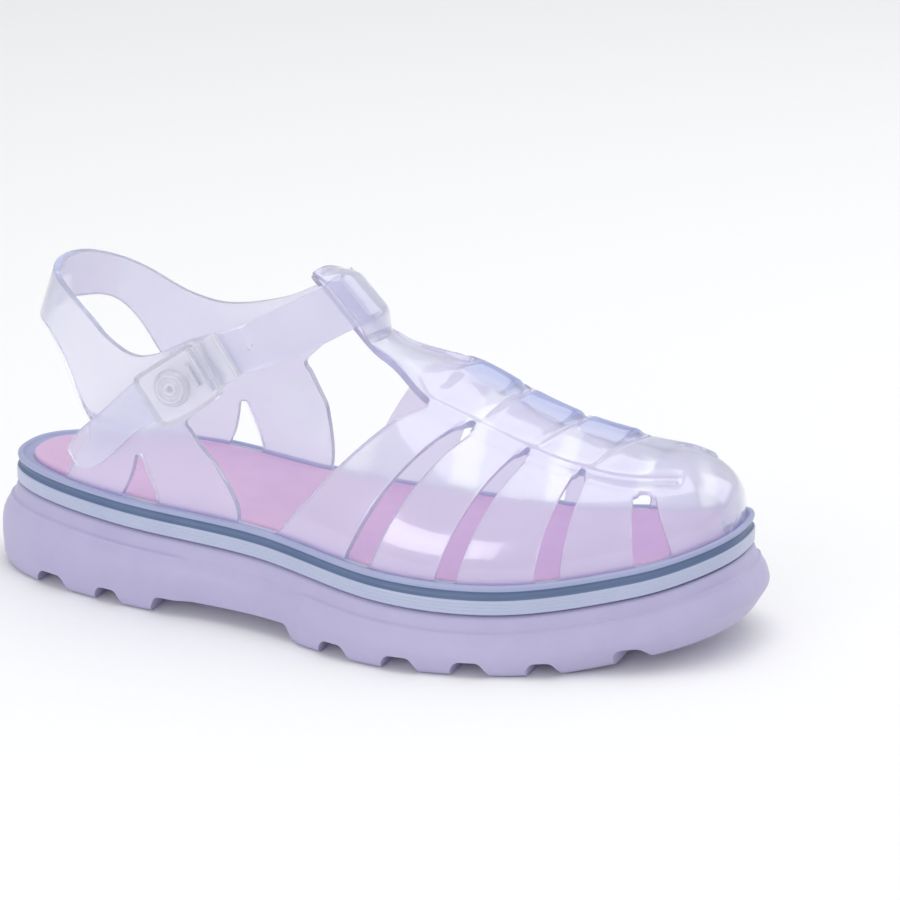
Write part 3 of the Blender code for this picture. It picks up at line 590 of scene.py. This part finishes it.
RIDGE_TABLE = (
    # station, side, height, lateral full, medial full, near edge, far edge
    (0.15, 0.090, 1.040, 1.75, 2.3, 0.42, 0.05),
    (0.30, 0.106, 0.960, 1.78, 2.3, 0.45, 0.05),
    (0.45, 0.106, 0.860, 1.90, 2.3, 0.48, 0.06),
    (0.60, 0.106, 0.790, 2.00, 2.3, 0.54, 0.09),
    (0.75, 0.106, 0.750, 2.20, 2.4, 0.62, 0.20),
    (0.88, 0.108, 0.740, 2.40, 2.4, 0.59, 0.45),
    (1.00, 0.115, 0.735, 2.40, 2.4, 0.59, 0.50),
)
COLUMN_TABLE = (
    # piece, cells, lateral foot, medial foot, lateral spine, medial spine
    ("heel", 5, -1.000, -1.000, None, None),
    ("rear leg", 3, -0.790, -0.750, None, None),
    ("window", 2, -0.605, -0.525, None, None),
    ("front leg", 4, -0.487, -0.405, None, None),
    ("side", 2, -0.254, -0.200, None, None),
    ("strap 1", 4, -0.136, -0.100, 0.222, 0.250),
    ("slot 1", 2, 0.077, 0.115, 0.315, 0.375),
    ("strap 2", 4, 0.155, 0.190, 0.353, 0.413),
    ("slot 2", 2, 0.336, 0.370, 0.467, 0.543),
    ("strap 3", 4, 0.392, 0.425, 0.495, 0.571),
    ("slot 3", 2, 0.577, 0.610, 0.609, 0.696),
    ("strap 4", 3, 0.637, 0.665, 0.641, 0.728),
    ("slot 4", 2, 0.800, 0.815, 0.755, 0.804),
    ("cap", 3, 0.885, 0.890, 0.800, 0.837),
    ("toe", 3, 0.955, 0.955, 0.859, 0.880),
)
BAND_TABLE = (
    # turn, lower edge, upper edge, stand-off
    (69.0, 0.725, 0.860, 0.0),
    (76.0, 0.660, 0.845, 0.0),
    (83.0, 0.585, 0.820, 0.0),
    (97.0, 0.560, 0.768, 0.0),
    (110.0, 0.560, 0.805, 0.0),
    (118.0, 0.575, 0.850, 0.0),
    (128.0, 0.700, 0.890, 0.0),
    (140.0, 0.780, 0.925, 0.0),
    (160.0, 0.800, 0.950, 0.0),
    (180.0, 0.803, 0.959, 0.0),
    (200.0, 0.800, 0.945, 0.0),
    (220.0, 0.780, 0.907, 0.0),
    (232.0, 0.700, 0.870, 0.0),
    (242.0, 0.575, 0.828, 0.0),
    (250.0, 0.560, 0.798, 0.0),
    (263.0, 0.560, 0.775, 0.0),
    (277.0, 0.575, 0.795, 0.0),
    (290.0, 0.620, 0.828, 0.0),
    (300.0, 0.700, 0.865, 0.0),
    (315.0, 0.785, 0.915, 0.0),
    (335.0, 0.862, 0.978, 0.0),
    (360.0, 0.885, 1.000, 0.0),
    (380.0, 0.870, 0.985, 0.0),
    (400.0, 0.818, 0.945, 0.5),
    (415.0, 0.773, 0.900, 0.9),
    (429.0, 0.730, 0.857, 1.0),
    (442.0, 0.645, 0.795, 1.0),
    (455.0, 0.550, 0.712, 1.0),
    (468.0, 0.418, 0.598, 1.3),
    (487.0, 0.300, 0.462, 1.6),
)
SLOTS = ("slot 1", "slot 2", "slot 3", "slot 4")
SLOT_4_TOP = 0.88


def column_angles(side):
    """Angles of the upper's columns, from heel to the toe tip, and the piece that each starts."""
    column = 2 if side == LATERAL else 3
    stations = [row[column] for row in COLUMN_TABLE] + [1.0]
    angles, pieces = [], []
    for row, start, end in zip(COLUMN_TABLE, stations, stations[1:]):
        first, last = foot_angle(start, side), foot_angle(end, side)
        for cell in range(row[1] * FINER):
            angles.append(first + (last - first) * cell / (row[1] * FINER))
            pieces.append(row[0])
    return angles, pieces


LATERAL_ANGLES, PIECES = column_angles(LATERAL)
MEDIAL_ANGLES = column_angles(MEDIAL)[0]
LOOP_ANGLES = [0.0] + MEDIAL_ANGLES[:0:-1] + [math.pi] + LATERAL_ANGLES[1:]
SIDE_ANGLES = {LATERAL: LATERAL_ANGLES, MEDIAL: MEDIAL_ANGLES}
VAMP_START = PIECES.index("strap 1")
TOE_COLUMN = PIECES.index("toe")
TOE_TIP = outline(0.0, -WALL_INSET).x


def side_profile(side):
    """The feather line of one side as y over x."""
    angles = [foot_angle(-1 + 2 * i / PROFILE_CELLS, side) for i in range(PROFILE_CELLS + 1)]
    points = [outline(angle, -WALL_INSET) for angle in angles]
    return [p.x for p in points], [p.y for p in points]


HEEL_END = min(outline(angles[PIECES.index("rear leg")], 0).x for angles in SIDE_ANGLES.values())
FEATHER = {side: side_profile(side) for side in (LATERAL, MEDIAL)}


def foot_height(x):
    """Height of the feather line, where the upper leaves the welt."""
    return top_edge(x) + WELT_HEIGHT - RIM_DROP


def foot_point(angle):
    point = outline(angle, -WALL_INSET)
    point.z = foot_height(point.x)
    return point


def ridge_side(x):
    """y of the vamp's highest line."""
    return BALL_WIDTH * read(RIDGE_TABLE, 1, x / HALF_LENGTH)


def reach(x, side):
    """How far the feather line lies from the highest line."""
    return abs(np.interp(x, *FEATHER[side]) - ridge_side(x))


def on_skin(x, y):
    """The point of the vamp's middle surface over a plan point."""
    station = x / HALF_LENGTH
    side = MEDIAL if y > ridge_side(x) else LATERAL
    fullness = read(RIDGE_TABLE, 3 if side == LATERAL else 4, station)
    share = min(abs(y - ridge_side(x)) / reach(x, side), 1.0) if x < TOE_TIP else 1.0
    toe = min(max((x - TOE_START) / (TOE_TIP - TOE_START), 0.0), 1.0)
    dome = (1 - toe ** TOE_FULLNESS) ** (1 / TOE_FULLNESS)
    rise = (INSTEP_HEIGHT * read(RIDGE_TABLE, 2, station) - foot_height(x)) * dome
    return Vector((x, y, foot_height(x) + rise * (1 - share ** fullness) ** (1 / fullness)))


def spine_edge(x, side):
    """y of the spine's edge on one side."""
    share = read(RIDGE_TABLE, 5 if side == LATERAL else 6, x / HALF_LENGTH)
    return ridge_side(x) + side * reach(x, side) * share


def spine_stations():
    """x of every column at the spine's lateral and medial edge, from strap 1 to the toe."""
    rows = [row for row in COLUMN_TABLE if row[4] is not None]
    lines = []
    for row, following in zip(rows, rows[1:]):
        for cell in range(row[1] * FINER):
            s = cell / (row[1] * FINER)
            near = row[4] + (following[4] - row[4]) * s
            far = row[5] + (following[5] - row[5]) * s
            lines.append((near * HALF_LENGTH, far * HALF_LENGTH))
    lines.append((rows[-1][4] * HALF_LENGTH, rows[-1][5] * HALF_LENGTH))
    return lines


SPINE_LINES = spine_stations()


def spine_point(column, across):
    """Middle surface of the spine: across runs from 0 at the lateral to 1 at the medial edge."""
    near_x, far_x = SPINE_LINES[column]
    x = near_x + (far_x - near_x) * across
    near, far = spine_edge(near_x, LATERAL), spine_edge(far_x, MEDIAL)
    return on_skin(x, near + (far - near) * across)


def spine_raise(column, across):
    """Beads along the spine's edges, and the plates that lie on it like scales, their rears high."""
    bead = BEAD_RISE * max(0.0, 1 - min(across, 1 - across) / BEAD_WIDTH)
    if column is None:
        return bead
    index = VAMP_START + column
    piece = PIECES[index] if PIECES[index].startswith("strap") else PIECES[index - 1]
    if not piece.startswith("strap") or across < 0.15:
        return bead
    first = PIECES.index(piece)
    share = (index - first) / PIECES.count(piece)
    middle = PLATE_RISE * (1 - SCALE_SLOPE * share)
    far = LUG_RISE if piece != "strap 4" else PLATE_RISE
    return middle + (far - middle) * ease((across - LUG_START) / LUG_RAMP)


def base_ring(bm):
    """The hidden margin that all feet stand on, and the low rim above it."""
    count = len(LOOP_ANGLES)

    def place(column, row):
        angle = LOOP_ANGLES[column % count]
        if row == 2:
            point = foot_point(angle)
            if point.x < HEEL_END - EDGE_ROUND:
                point.z -= 2 * MARGIN_DROP
            return point
        point = outline(angle, -WALL_INSET - (BASE_WIDTH if row == 0 else 0.0))
        point.z = top_edge(point.x) + BASE_LEVEL
        return point

    patch(bm, count, 2, place)


def vamp_point(side, column, row):
    """Middle surface of the vamp's side: columns from strap 1 on, rows up from the feather line."""
    foot = foot_point(SIDE_ANGLES[side][VAMP_START + column])
    if row == 0:
        return foot
    end = spine_point(column, 0.0 if side == LATERAL else 1.0)
    if row == FAN_ROWS:
        return end
    climb = row / FAN_ROWS
    x = foot.x + (end.x - foot.x) * climb ** FAN_SWEEP
    x = min(x, max(end.x, TOE_TIP - 3 * GAP))
    fullness = read(RIDGE_TABLE, 3 if side == LATERAL else 4, x / HALF_LENGTH)
    end_share = abs(end.y - ridge_side(x)) / reach(x, side)
    limit = math.acos(min(end_share, 1.0) ** (fullness / 2))
    share = math.cos(limit * climb) ** (2 / fullness)
    return on_skin(x, ridge_side(x) + side * reach(x, side) * share)


def vamp_side(bm, side):
    """Cross straps and the side of the toe cap, from the feather line up to the spine."""
    def place(column, row):
        return vamp_point(side, column, row)

    def keep(column, row):
        piece = PIECES[VAMP_START + column]
        if piece not in SLOTS:
            return True
        first = PIECES.index(piece)
        top = FAN_ROWS * (SLOT_4_TOP if piece == "slot 4" else 1.0)
        corner = VAMP_START + column in (first, first + PIECES.count(piece) - 1)
        return row >= top - (1 if corner else 0)

    def raised(column, row):
        return spine_raise(column, 0.0 if side == LATERAL else 1.0) if row == FAN_ROWS else 0.0

    patch(bm, TOE_COLUMN - VAMP_START, FAN_ROWS, place, raised, keep)


def toe_front(bm):
    """The front of the toe cap, from the feather line up to the end of the spine."""
    angles = LATERAL_ANGLES[TOE_COLUMN:] + [0.0] + MEDIAL_ANGLES[:TOE_COLUMN - 1:-1]
    last = len(SPINE_LINES) - 1

    def place(column, row):
        if column in (0, len(SPINE_ROWS) - 1):
            return vamp_point(LATERAL if column == 0 else MEDIAL, last, row)
        foot = foot_point(angles[column])
        if row == 0:
            return foot
        end = spine_point(last, SPINE_ROWS[column])
        if row == FAN_ROWS:
            return end
        inward = 1 - math.cos(math.pi / 2 * row / FAN_ROWS) ** TOE_SWEEP
        plan = foot.lerp(end, inward)
        return on_skin(plan.x, plan.y)

    patch(bm, len(SPINE_ROWS) - 1, FAN_ROWS, place)


def spine(bm):
    """The spine from the T-bar to the toe cap, with its beads and plates."""
    patch(
        bm, len(SPINE_LINES) - 1, len(SPINE_ROWS) - 1,
        lambda column, row: spine_point(column, SPINE_ROWS[row]),
        lambda column, row: spine_raise(column, SPINE_ROWS[row]),
    )


def ankle_point(turn, height):
    """Heel band and strap: turn in degrees from the front by the lateral side, height across it."""
    cosine, sine = math.cos(math.radians(turn)), math.sin(math.radians(turn))
    power = 1.0 if cosine > 0 else HEEL_SQUARENESS
    x_share = math.copysign(abs(cosine) ** power, cosine)
    y_share = math.copysign(abs(sine) ** power, sine)
    low_reach, high_reach = (LOW_FRONT, HIGH_FRONT) if cosine > 0 else (LOW_REAR, HIGH_REAR)
    low = Vector((ANKLE_CENTRE + low_reach * x_share, -LOW_HALF * y_share, 0))
    high = Vector((ANKLE_CENTRE + high_reach * x_share, -HIGH_HALF * y_share, 0))
    low.z = ANKLE_HEIGHT * read(BAND_TABLE, 1, turn)
    high.z = ANKLE_HEIGHT * read(BAND_TABLE, 2, turn)
    return low.lerp(high, height)


def ankle_normal(turn, height):
    """Outward direction of the heel band and strap."""
    along = ankle_point(turn + 0.5, height) - ankle_point(turn - 0.5, height)
    up = ankle_point(turn, height + 0.1) - ankle_point(turn, height - 0.1)
    return up.cross(along).normalized()


def band_point(turn, height):
    """Middle surface of the heel band and strap, which stands off where it runs over the quarter."""
    lift = STRAP_STANDOFF * read(BAND_TABLE, 3, turn)
    return ankle_point(turn, height) + ankle_normal(turn, height) * lift


LEG_PIECES = ("rear leg", "window", "front leg")
LEG_CELLS = sum(row[1] for row in COLUMN_TABLE if row[0] in LEG_PIECES) * FINER


def band_turns():
    """Turns of the heel band's columns, from its front end to the strap's free tip."""
    near_rear, near_front = NECK_TURNS[LATERAL]
    far_rear, far_front = NECK_TURNS[MEDIAL]
    stops = (
        # turn, cells to the next
        (BAND_TABLE[0][0], 4),
        (near_front, LEG_CELLS),
        (near_rear, 28),
        (far_rear, LEG_CELLS),
        (far_front, 12),
        (360.0 - LOOP_HALF_TURN, 12),
        (360.0 + LOOP_HALF_TURN, 14),
        (BUCKLE_TURN - 12.0, 14),
        (BAND_TABLE[-1][0] - TIP_LEAN / 2, 0),
    )
    turns = []
    for (start, cells), following in zip(stops, stops[1:]):
        turns += [start + (following[0] - start) * i / cells for i in range(cells)]
    return turns + [stops[-1][0]]


BAND_TURNS = band_turns()


def heel_band(bm):
    """The band round the heel and the ankle strap in one run, with the strap's rounded tip."""
    last = len(BAND_TURNS) - 1

    def place(column, row):
        corner = max(0.0, 1 - (last - column) / TIP_COLUMNS)
        height = 0.5 + (row / BAND_ROWS - 0.5) * (1 - TIP_ROUND * corner ** 2)
        turn = BAND_TURNS[column]
        lean = TIP_LEAN * ease((turn - BUCKLE_TURN) / TIP_TURNS) * (height - 0.5)
        return band_point(turn + lean, height)

    patch(bm, last, BAND_ROWS, place)


def quarter(bm, side):
    """The two legs of a quarter and the window between them, up to the heel band."""
    angles = SIDE_ANGLES[side]
    first = PIECES.index("rear leg")
    rear, front = NECK_TURNS[side]
    window_at = PIECES.index("window") - first
    middle = window_at + FINER

    def place(column, row):
        foot = foot_point(angles[first + column])
        turn = rear + (front - rear) * column / LEG_CELLS
        neck = band_point(turn, 0.0)
        if row == 0:
            return foot
        if row == LEG_ROWS:
            return neck
        climb = row / LEG_ROWS
        rise = neck.z - foot.z
        lean = (band_point(turn, 0.1) - neck).normalized()
        start, end = Vector((0, 0, 0.9 * rise)), lean * rise
        point = (
            foot * (2 * climb ** 3 - 3 * climb ** 2 + 1) + start * (climb ** 3 - 2 * climb ** 2 + climb)
            + neck * (3 * climb ** 2 - 2 * climb ** 3) + end * (climb ** 3 - climb ** 2)
        )
        share = min(row / WINDOW_ROWS, 2 - row / WINDOW_ROWS)
        point.x += WINDOW_LEAN * share
        off = abs(column - middle) / FINER
        if 0 < off < 2:
            centre = place(middle, row)
            pull = WINDOW_PINCH * share * min(1.0, 2 - off)
            point = point.lerp(Vector((centre.x, centre.y, point.z)), pull)
        return point

    def keep(column, row):
        return not (window_at <= column < window_at + 2 * FINER and row < WINDOW_ROWS)

    patch(bm, LEG_CELLS, LEG_ROWS, place, None, keep)


def loop_point(across, height, lift):
    """Points under and over the strap where the T-bar ends: across 0 is the lateral edge."""
    turn = 360.0 + LOOP_HALF_TURN * (1 - 2 * across)
    return ankle_point(turn, height) + ankle_normal(turn, height) * lift


def loop_top(across):
    """Upper end of the loop across the strap, lower on the medial side."""
    return LOOP_HIGH - LOOP_LEAN * ease((across - 0.2) / 0.8)


def t_bar(bm):
    """From the spine up to the strap, then on behind the strap as the loop's inner side."""
    def place(column, row):
        across = SPINE_ROWS[row]
        start = spine_point(0, across)
        end = loop_point(across, LOOP_LOW, -LOOP_DROP)
        if column == T_BAR_CELLS:
            return start
        s = 1 - column / T_BAR_CELLS
        length = (end - start).length
        leave = (start - spine_point(FINER, across)).normalized() * length
        arrive = (loop_point(across, 0.0, -LOOP_DROP) - end).normalized() * length
        arch = Vector((0, 0, T_BAR_CROWN * (1 - across))) * math.sin(math.pi * s) ** 2
        return arch + (
            start * (2 * s ** 3 - 3 * s ** 2 + 1) + leave * (s ** 3 - 2 * s ** 2 + s)
            + end * (3 * s ** 2 - 2 * s ** 3) + arrive * (s ** 3 - s ** 2)
        )

    patch(
        bm, T_BAR_CELLS, len(SPINE_ROWS) - 1, place,
        lambda column, row: spine_raise(None, SPINE_ROWS[row]),
    )

    def place_inner(column, row):
        across = SPINE_ROWS[row]
        height = LOOP_LOW + (loop_top(across) - LOOP_LOW) * (1 - column / LOOP_ROWS)
        return loop_point(across, height, -LOOP_DROP)

    patch(bm, LOOP_ROWS, len(SPINE_ROWS) - 1, place_inner)


def loop_cover(bm):
    """The outer side of the loop: an arch over the strap, joined to the T-bar at both ends."""
    low = LOOP_LOW - COVER_SINK
    start = LOOP_DROP - 0.35 * WALL

    def place(column, row):
        high = loop_top(SPINE_ROWS[column]) + COVER_REACH
        height = low + (high - low) * row / COVER_ROWS
        climb = ease((height - low) / COVER_FOOT) * ease((high - height) / COVER_HEAD)
        round_off = 1 - 0.3 * abs(2 * SPINE_ROWS[column] - 1) ** 4
        lift = -start + climb * (start + (WALL + COVER_WALL) / 2 + 0.3 * GAP) * round_off
        return loop_point(SPINE_ROWS[column], height, lift)

    patch(bm, len(SPINE_ROWS) - 1, COVER_ROWS, place)


def thicken(bm, wall=WALL):
    """Gives the middle surface its wall, raised outside where the layer says, with round rims."""
    bmesh.ops.remove_doubles(bm, verts=bm.verts, dist=MERGE)
    loose = [vert for vert in bm.verts if not vert.link_faces]
    bmesh.ops.delete(bm, geom=loose, context="VERTS")
    bmesh.ops.recalc_face_normals(bm, faces=bm.faces)
    frontmost = max(bm.faces, key=lambda face: face.calc_center_median().x)
    if frontmost.normal.x < 0:
        bmesh.ops.reverse_faces(bm, faces=bm.faces)
    bm.normal_update()
    mark = bm.verts.layers.int.new("mark")
    layer = bm.verts.layers.float["raise"]
    normals = {vert: vert.normal.copy() for vert in bm.verts}
    factors = {vert: min(vert.calc_shell_factor(), WALL_SPREAD) for vert in bm.verts}
    originals = list(bm.verts)
    rims = [edge for edge in bm.edges if edge.is_boundary]
    for number, vert in enumerate(originals):
        vert[mark] = number
    grown = bmesh.ops.extrude_face_region(bm, geom=bm.faces[:], use_keep_orig=True)
    outer = [item for item in grown["geom"] if isinstance(item, bmesh.types.BMVert)]
    for vert in outer:
        source = originals[vert[mark]]
        vert.co = source.co + normals[source] * (wall / 2 * factors[source] + source[layer])
    for vert in originals:
        vert.co -= normals[vert] * (wall / 2 * factors[vert])
    bm.normal_update()
    ends = {(edge.verts[0][mark], edge.verts[1][mark]) for edge in rims}
    ends |= {(b, a) for a, b in ends}
    sharp = [
        edge for edge in bm.edges
        if (edge.verts[0][mark], edge.verts[1][mark]) in ends and edge.calc_face_angle(0.0) > RIM_ANGLE
    ]
    bmesh.ops.bevel(
        bm, geom=sharp, offset=RIM_ROUND * wall, affect="EDGES", segments=2, profile=0.5, material=-1,
        clamp_overlap=True
    )


bm = bmesh.new()
base_ring(bm)
for side in (LATERAL, MEDIAL):
    vamp_side(bm, side)
    quarter(bm, side)
toe_front(bm)
spine(bm)
t_bar(bm)
heel_band(bm)
thicken(bm)
upper = finish(bm, "clear_upper")
subdivide(upper, 1)
bm = bmesh.new()
loop_cover(bm)
thicken(bm, COVER_WALL)
cover = finish(bm, "loop_cover_form")
subdivide(cover, 1)
combine(upper, cover, "UNION")
bm = bmesh.new()
bmesh.ops.create_cone(bm, cap_ends=True, segments=20, radius1=PIN_HOLE, radius2=PIN_HOLE, depth=6 * WALL)
outward = ankle_normal(PIN_TURN, 0.5)
bmesh.ops.transform(bm, matrix=outward.to_track_quat("Z", "Y").to_matrix().to_4x4(), verts=bm.verts)
bmesh.ops.translate(bm, verts=bm.verts, vec=band_point(PIN_TURN, 0.5))
combine(upper, finish(bm, "pin_hole_cutter", 30), "DIFFERENCE")


def let_through(tree, shader, tone, share):
    """Clear plastic lets the lamps' light pass: its shadow is a light one in the given tone."""
    ray = tree.nodes.new("ShaderNodeLightPath").outputs["Is Shadow Ray"]
    part = tree.nodes.new("ShaderNodeMath")
    part.operation = "MULTIPLY"
    part.inputs[1].default_value = share
    tree.links.new(ray, part.inputs[0])
    passed = add_node(tree, "ShaderNodeBsdfTransparent", Color=(*tone, 1))
    mixed = tree.nodes.new("ShaderNodeMixShader")
    tree.links.new(part.outputs[0], mixed.inputs[0])
    tree.links.new(shader.outputs[0], mixed.inputs[1])
    tree.links.new(passed.outputs[0], mixed.inputs[2])
    tree.links.new(mixed.outputs[0], tree.nodes["Material Output"].inputs["Surface"])


clear, shader = nodes_of("clear_jelly")
tree = clear.node_tree
skin = add_skin(tree, shader, Grain=0.02, Wave=0.35, Wave_Scale=70.0)
milk = add_mix(tree, skin.outputs["Wave Mask"], (0.86, 0.85, 0.94), (0.925, 0.905, 0.965))
thick = tree.nodes.new("ShaderNodeMapRange")
thick.inputs["From Min"].default_value = PLATE_RISE
thick.inputs["From Max"].default_value = LUG_RISE
raised = tree.nodes.new("ShaderNodeAttribute")
raised.attribute_name = "raise"
tree.links.new(raised.outputs["Fac"], thick.inputs["Value"])
bluish = add_mix(tree, thick.outputs[0], milk, (0.54, 0.62, 0.92))
tree.links.new(bluish, shader.inputs["Base Color"])
shader.inputs["Roughness"].default_value = 0.14
shader.inputs["IOR"].default_value = 1.5
shader.inputs["Transmission Weight"].default_value = 0.74
shader.inputs["Coat Weight"].default_value = 0.7
shader.inputs["Coat Roughness"].default_value = 0.04
let_through(tree, shader, (0.93, 0.91, 0.97), 0.92)
tint = add_node(tree, "ShaderNodeVolumeAbsorption", Color=(0.70, 0.78, 1.0, 1), Density=95.0)
tree.links.new(tint.outputs[0], tree.nodes["Material Output"].inputs["Volume"])
upper.data.materials.append(clear)
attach(upper, "root")
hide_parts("upper")

# The buckle: a clear hard moulding with a raised rim, two bars beside its round press boss and a low
# ridged tongue over the strap. It is fixed to the strap's lateral end, and the tip leaves it rearwards.

BUCKLE_LENGTH = 0.0190
BUCKLE_WIDTH = 0.0138
BUCKLE_DROP = 0.0006
BUCKLE_THICKNESS = 0.0030
BUCKLE_RIM = 0.0011
BUCKLE_CORNER = 0.0022
BUCKLE_RECESS = 0.0014
BUCKLE_BULGE = 0.0012
BUCKLE_EDGE = 0.00022
STUD_RADIUS = 0.0036
STUD_RISE = 0.0020
STUD_SHIFT = 0.0020

BAR_TABLE = (
    # place along the buckle, width, length across, top over the floor, foot under the floor
    (0.24, 0.0008, 0.0060, 0.0013, 0.0014),
    (0.37, 0.0006, 0.0112, 0.0017, 0.0014),
    (0.592, 0.0055, 0.0118, -0.0014, 0.0028),
    (0.705, 0.0009, 0.0118, -0.0008, 0.0028),
)
STUD_TABLE = (
    # radius, height: from the dimple in the middle to the foot
    (0.00, 0.10),
    (0.12, 0.15),
    (0.20, 0.80),
    (0.40, 0.95),
    (0.52, 0.50),
    (0.70, 0.45),
    (0.84, 0.95),
    (0.98, 0.90),
    (1.06, 0.10),
    (1.30, 0.05),
    (1.32, -0.20),
    (0.00, -0.20),
)

centre = band_point(BUCKLE_TURN, 0.5)
along = (band_point(BUCKLE_TURN - 4, 0.5) - band_point(BUCKLE_TURN + 4, 0.5)).normalized()
outward = ankle_normal(BUCKLE_TURN, 0.5)
across = outward.cross(along).normalized()
turn = Matrix((along, across, along.cross(across))).transposed().to_4x4()
centre = centre - across * BUCKLE_DROP
seat = WALL / 2 + 2.2 * GAP
buckle_floor = seat + BUCKLE_THICKNESS - BUCKLE_RECESS

bm = bmesh.new()
bmesh.ops.create_cube(bm, size=1.0)
bmesh.ops.scale(bm, verts=bm.verts, vec=(BUCKLE_LENGTH, BUCKLE_WIDTH, BUCKLE_THICKNESS))
bmesh.ops.translate(bm, verts=bm.verts, vec=(0, 0, seat + BUCKLE_THICKNESS / 2))
uprights = [edge for edge in bm.edges if abs(edge.verts[0].co.z - edge.verts[1].co.z) > GAP]
bmesh.ops.bevel(
    bm, geom=uprights, offset=BUCKLE_CORNER, affect="EDGES", segments=5, profile=0.5, material=-1
)
lengthways = [
    edge for edge in bm.edges if abs(edge.verts[0].co.x - edge.verts[1].co.x) > BUCKLE_LENGTH / 2
]
bmesh.ops.subdivide_edges(bm, edges=lengthways, cuts=9, use_grid_fill=True)
top = [face for face in bm.faces if face.normal.z > 0.9]
bmesh.ops.inset_region(bm, faces=top, thickness=BUCKLE_RIM)
for vert in {vert for face in top for vert in face.verts}:
    vert.co.z -= BUCKLE_RECESS
for vert in bm.verts:
    if vert.co.y < 0:
        vert.co.y -= BUCKLE_BULGE * (1 - (2 * vert.co.x / BUCKLE_LENGTH) ** 2)
for place, width, length, rise, depth in BAR_TABLE:
    bar = bmesh.ops.create_cube(bm, size=1.0)["verts"]
    bmesh.ops.scale(bm, verts=bar, vec=(width, length, rise + depth))
    middle = Vector((place * BUCKLE_LENGTH, 0, buckle_floor + (rise - depth) / 2))
    bmesh.ops.translate(bm, verts=bar, vec=middle)
bmesh.ops.transform(bm, matrix=turn, verts=bm.verts)
bmesh.ops.translate(bm, verts=bm.verts, vec=centre)
plate = finish(bm, "buckle_plate", 30)
soften_edges(plate, BUCKLE_EDGE, 30)

bm = bmesh.new()
corners = [
    bm.verts.new((radius * STUD_RADIUS, 0, buckle_floor + height * STUD_RISE))
    for radius, height in STUD_TABLE
]
profile = [bm.edges.new(pair) for pair in zip(corners, corners[1:])]
bmesh.ops.spin(
    bm, geom=corners + profile, cent=(0, 0, 0), axis=(0, 0, 1), angle=2 * math.pi, steps=32,
    use_merge=True
)
bmesh.ops.remove_doubles(bm, verts=bm.verts, dist=MERGE)
bmesh.ops.translate(bm, verts=bm.verts, vec=(-STUD_SHIFT, 0, 0))
bmesh.ops.transform(bm, matrix=turn, verts=bm.verts)
bmesh.ops.translate(bm, verts=bm.verts, vec=centre)
boss = finish(bm, "buckle_boss")
subdivide(boss, 1)

glossy, shader = nodes_of("clear_hard_plastic")
tree = glossy.node_tree
add_skin(tree, shader, Grain=0.02, Wave=0.15, Wave_Scale=200.0)
shader.inputs["Base Color"].default_value = (0.93, 0.925, 0.99, 1)
shader.inputs["Roughness"].default_value = 0.07
shader.inputs["Transmission Weight"].default_value = 0.60
shader.inputs["Coat Weight"].default_value = 1.0
let_through(tree, shader, (0.92, 0.93, 0.98), 0.75)
for piece, node in ((plate, "buckle_frame"), (boss, "buckle_stud")):
    piece.data.materials.append(glossy)
    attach(piece, "root")
    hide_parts(node)

# The studio: a plain pale paper floor, a white surround and three soft lights. The camera stands
# before the lateral side, towards the toe and a little above, as in the photograph.

FLOOR_SIZE = 8.0
CAMERA_PLACE = Vector((0.32915, -0.78546, 0.32062))
CAMERA_TARGET = Vector((0.02043, 0.00298, 0.04045))
CAMERA_ROLL = 0.67
CAMERA_LENS = 151.07
LIGHT_TARGET = Vector((0, 0, 0.03))
LIGHT_TABLE = (
    # name, place, width, height, watts
    ("overhead", (0.10, 0.10, 1.10), 1.0, 1.0, 4.9),
    ("long window", (-0.16, -1.05, 0.40), 1.0, 0.36, 3.2),
    ("right rear", (0.70, 0.70, 0.55), 0.7, 0.7, 1.6),
)

bm = bmesh.new()
bmesh.ops.create_grid(bm, x_segments=1, y_segments=1, size=FLOOR_SIZE)
floor = finish(bm, "studio_floor")
paper, shader = nodes_of("studio_paper")
tree = paper.node_tree
fibres = tree.nodes.new("ShaderNodeTexNoise")
fibres.inputs["Scale"].default_value = 400.0
tree.links.new(tree.nodes.new("ShaderNodeTexCoord").outputs["Object"], fibres.inputs["Vector"])
tone = add_mix(tree, fibres.outputs[0], (0.92, 0.92, 0.92), (0.94, 0.94, 0.94))
tree.links.new(tone, shader.inputs["Base Color"])
shader.inputs["Roughness"].default_value = 0.9
floor.data.materials.append(paper)

world = bpy.data.worlds.new("studio")
world.use_nodes = True
surround = world.node_tree.nodes["Background"]
surround.inputs["Color"].default_value = (0.97, 0.98, 1.0, 1)
surround.inputs["Strength"].default_value = 0.66
bpy.context.scene.world = world
bpy.context.scene.view_settings.view_transform = "Standard"
for name, place, width, height, watts in LIGHT_TABLE:
    lamp = bpy.data.lights.new(name, "AREA")
    lamp.shape = "RECTANGLE"
    lamp.size = width
    lamp.size_y = height
    lamp.energy = watts
    holder = bpy.data.objects.new(name, lamp)
    holder.location = place
    holder.rotation_euler = (LIGHT_TARGET - holder.location).to_track_quat("-Z", "Y").to_euler()
    bpy.context.scene.collection.objects.link(holder)

lens = bpy.data.cameras.new("camera")
lens.lens = CAMERA_LENS
lens.sensor_width = 36.0
lens.clip_start = 0.05
camera = bpy.data.objects.new("camera", lens)
aim = (CAMERA_TARGET - CAMERA_PLACE).to_track_quat("-Z", "Y").to_matrix()
camera.matrix_world = Matrix.Translation(CAMERA_PLACE) @ (
    aim @ Matrix.Rotation(math.radians(CAMERA_ROLL), 3, "Z")
).to_4x4()
bpy.context.scene.collection.objects.link(camera)
bpy.context.scene.camera = camera
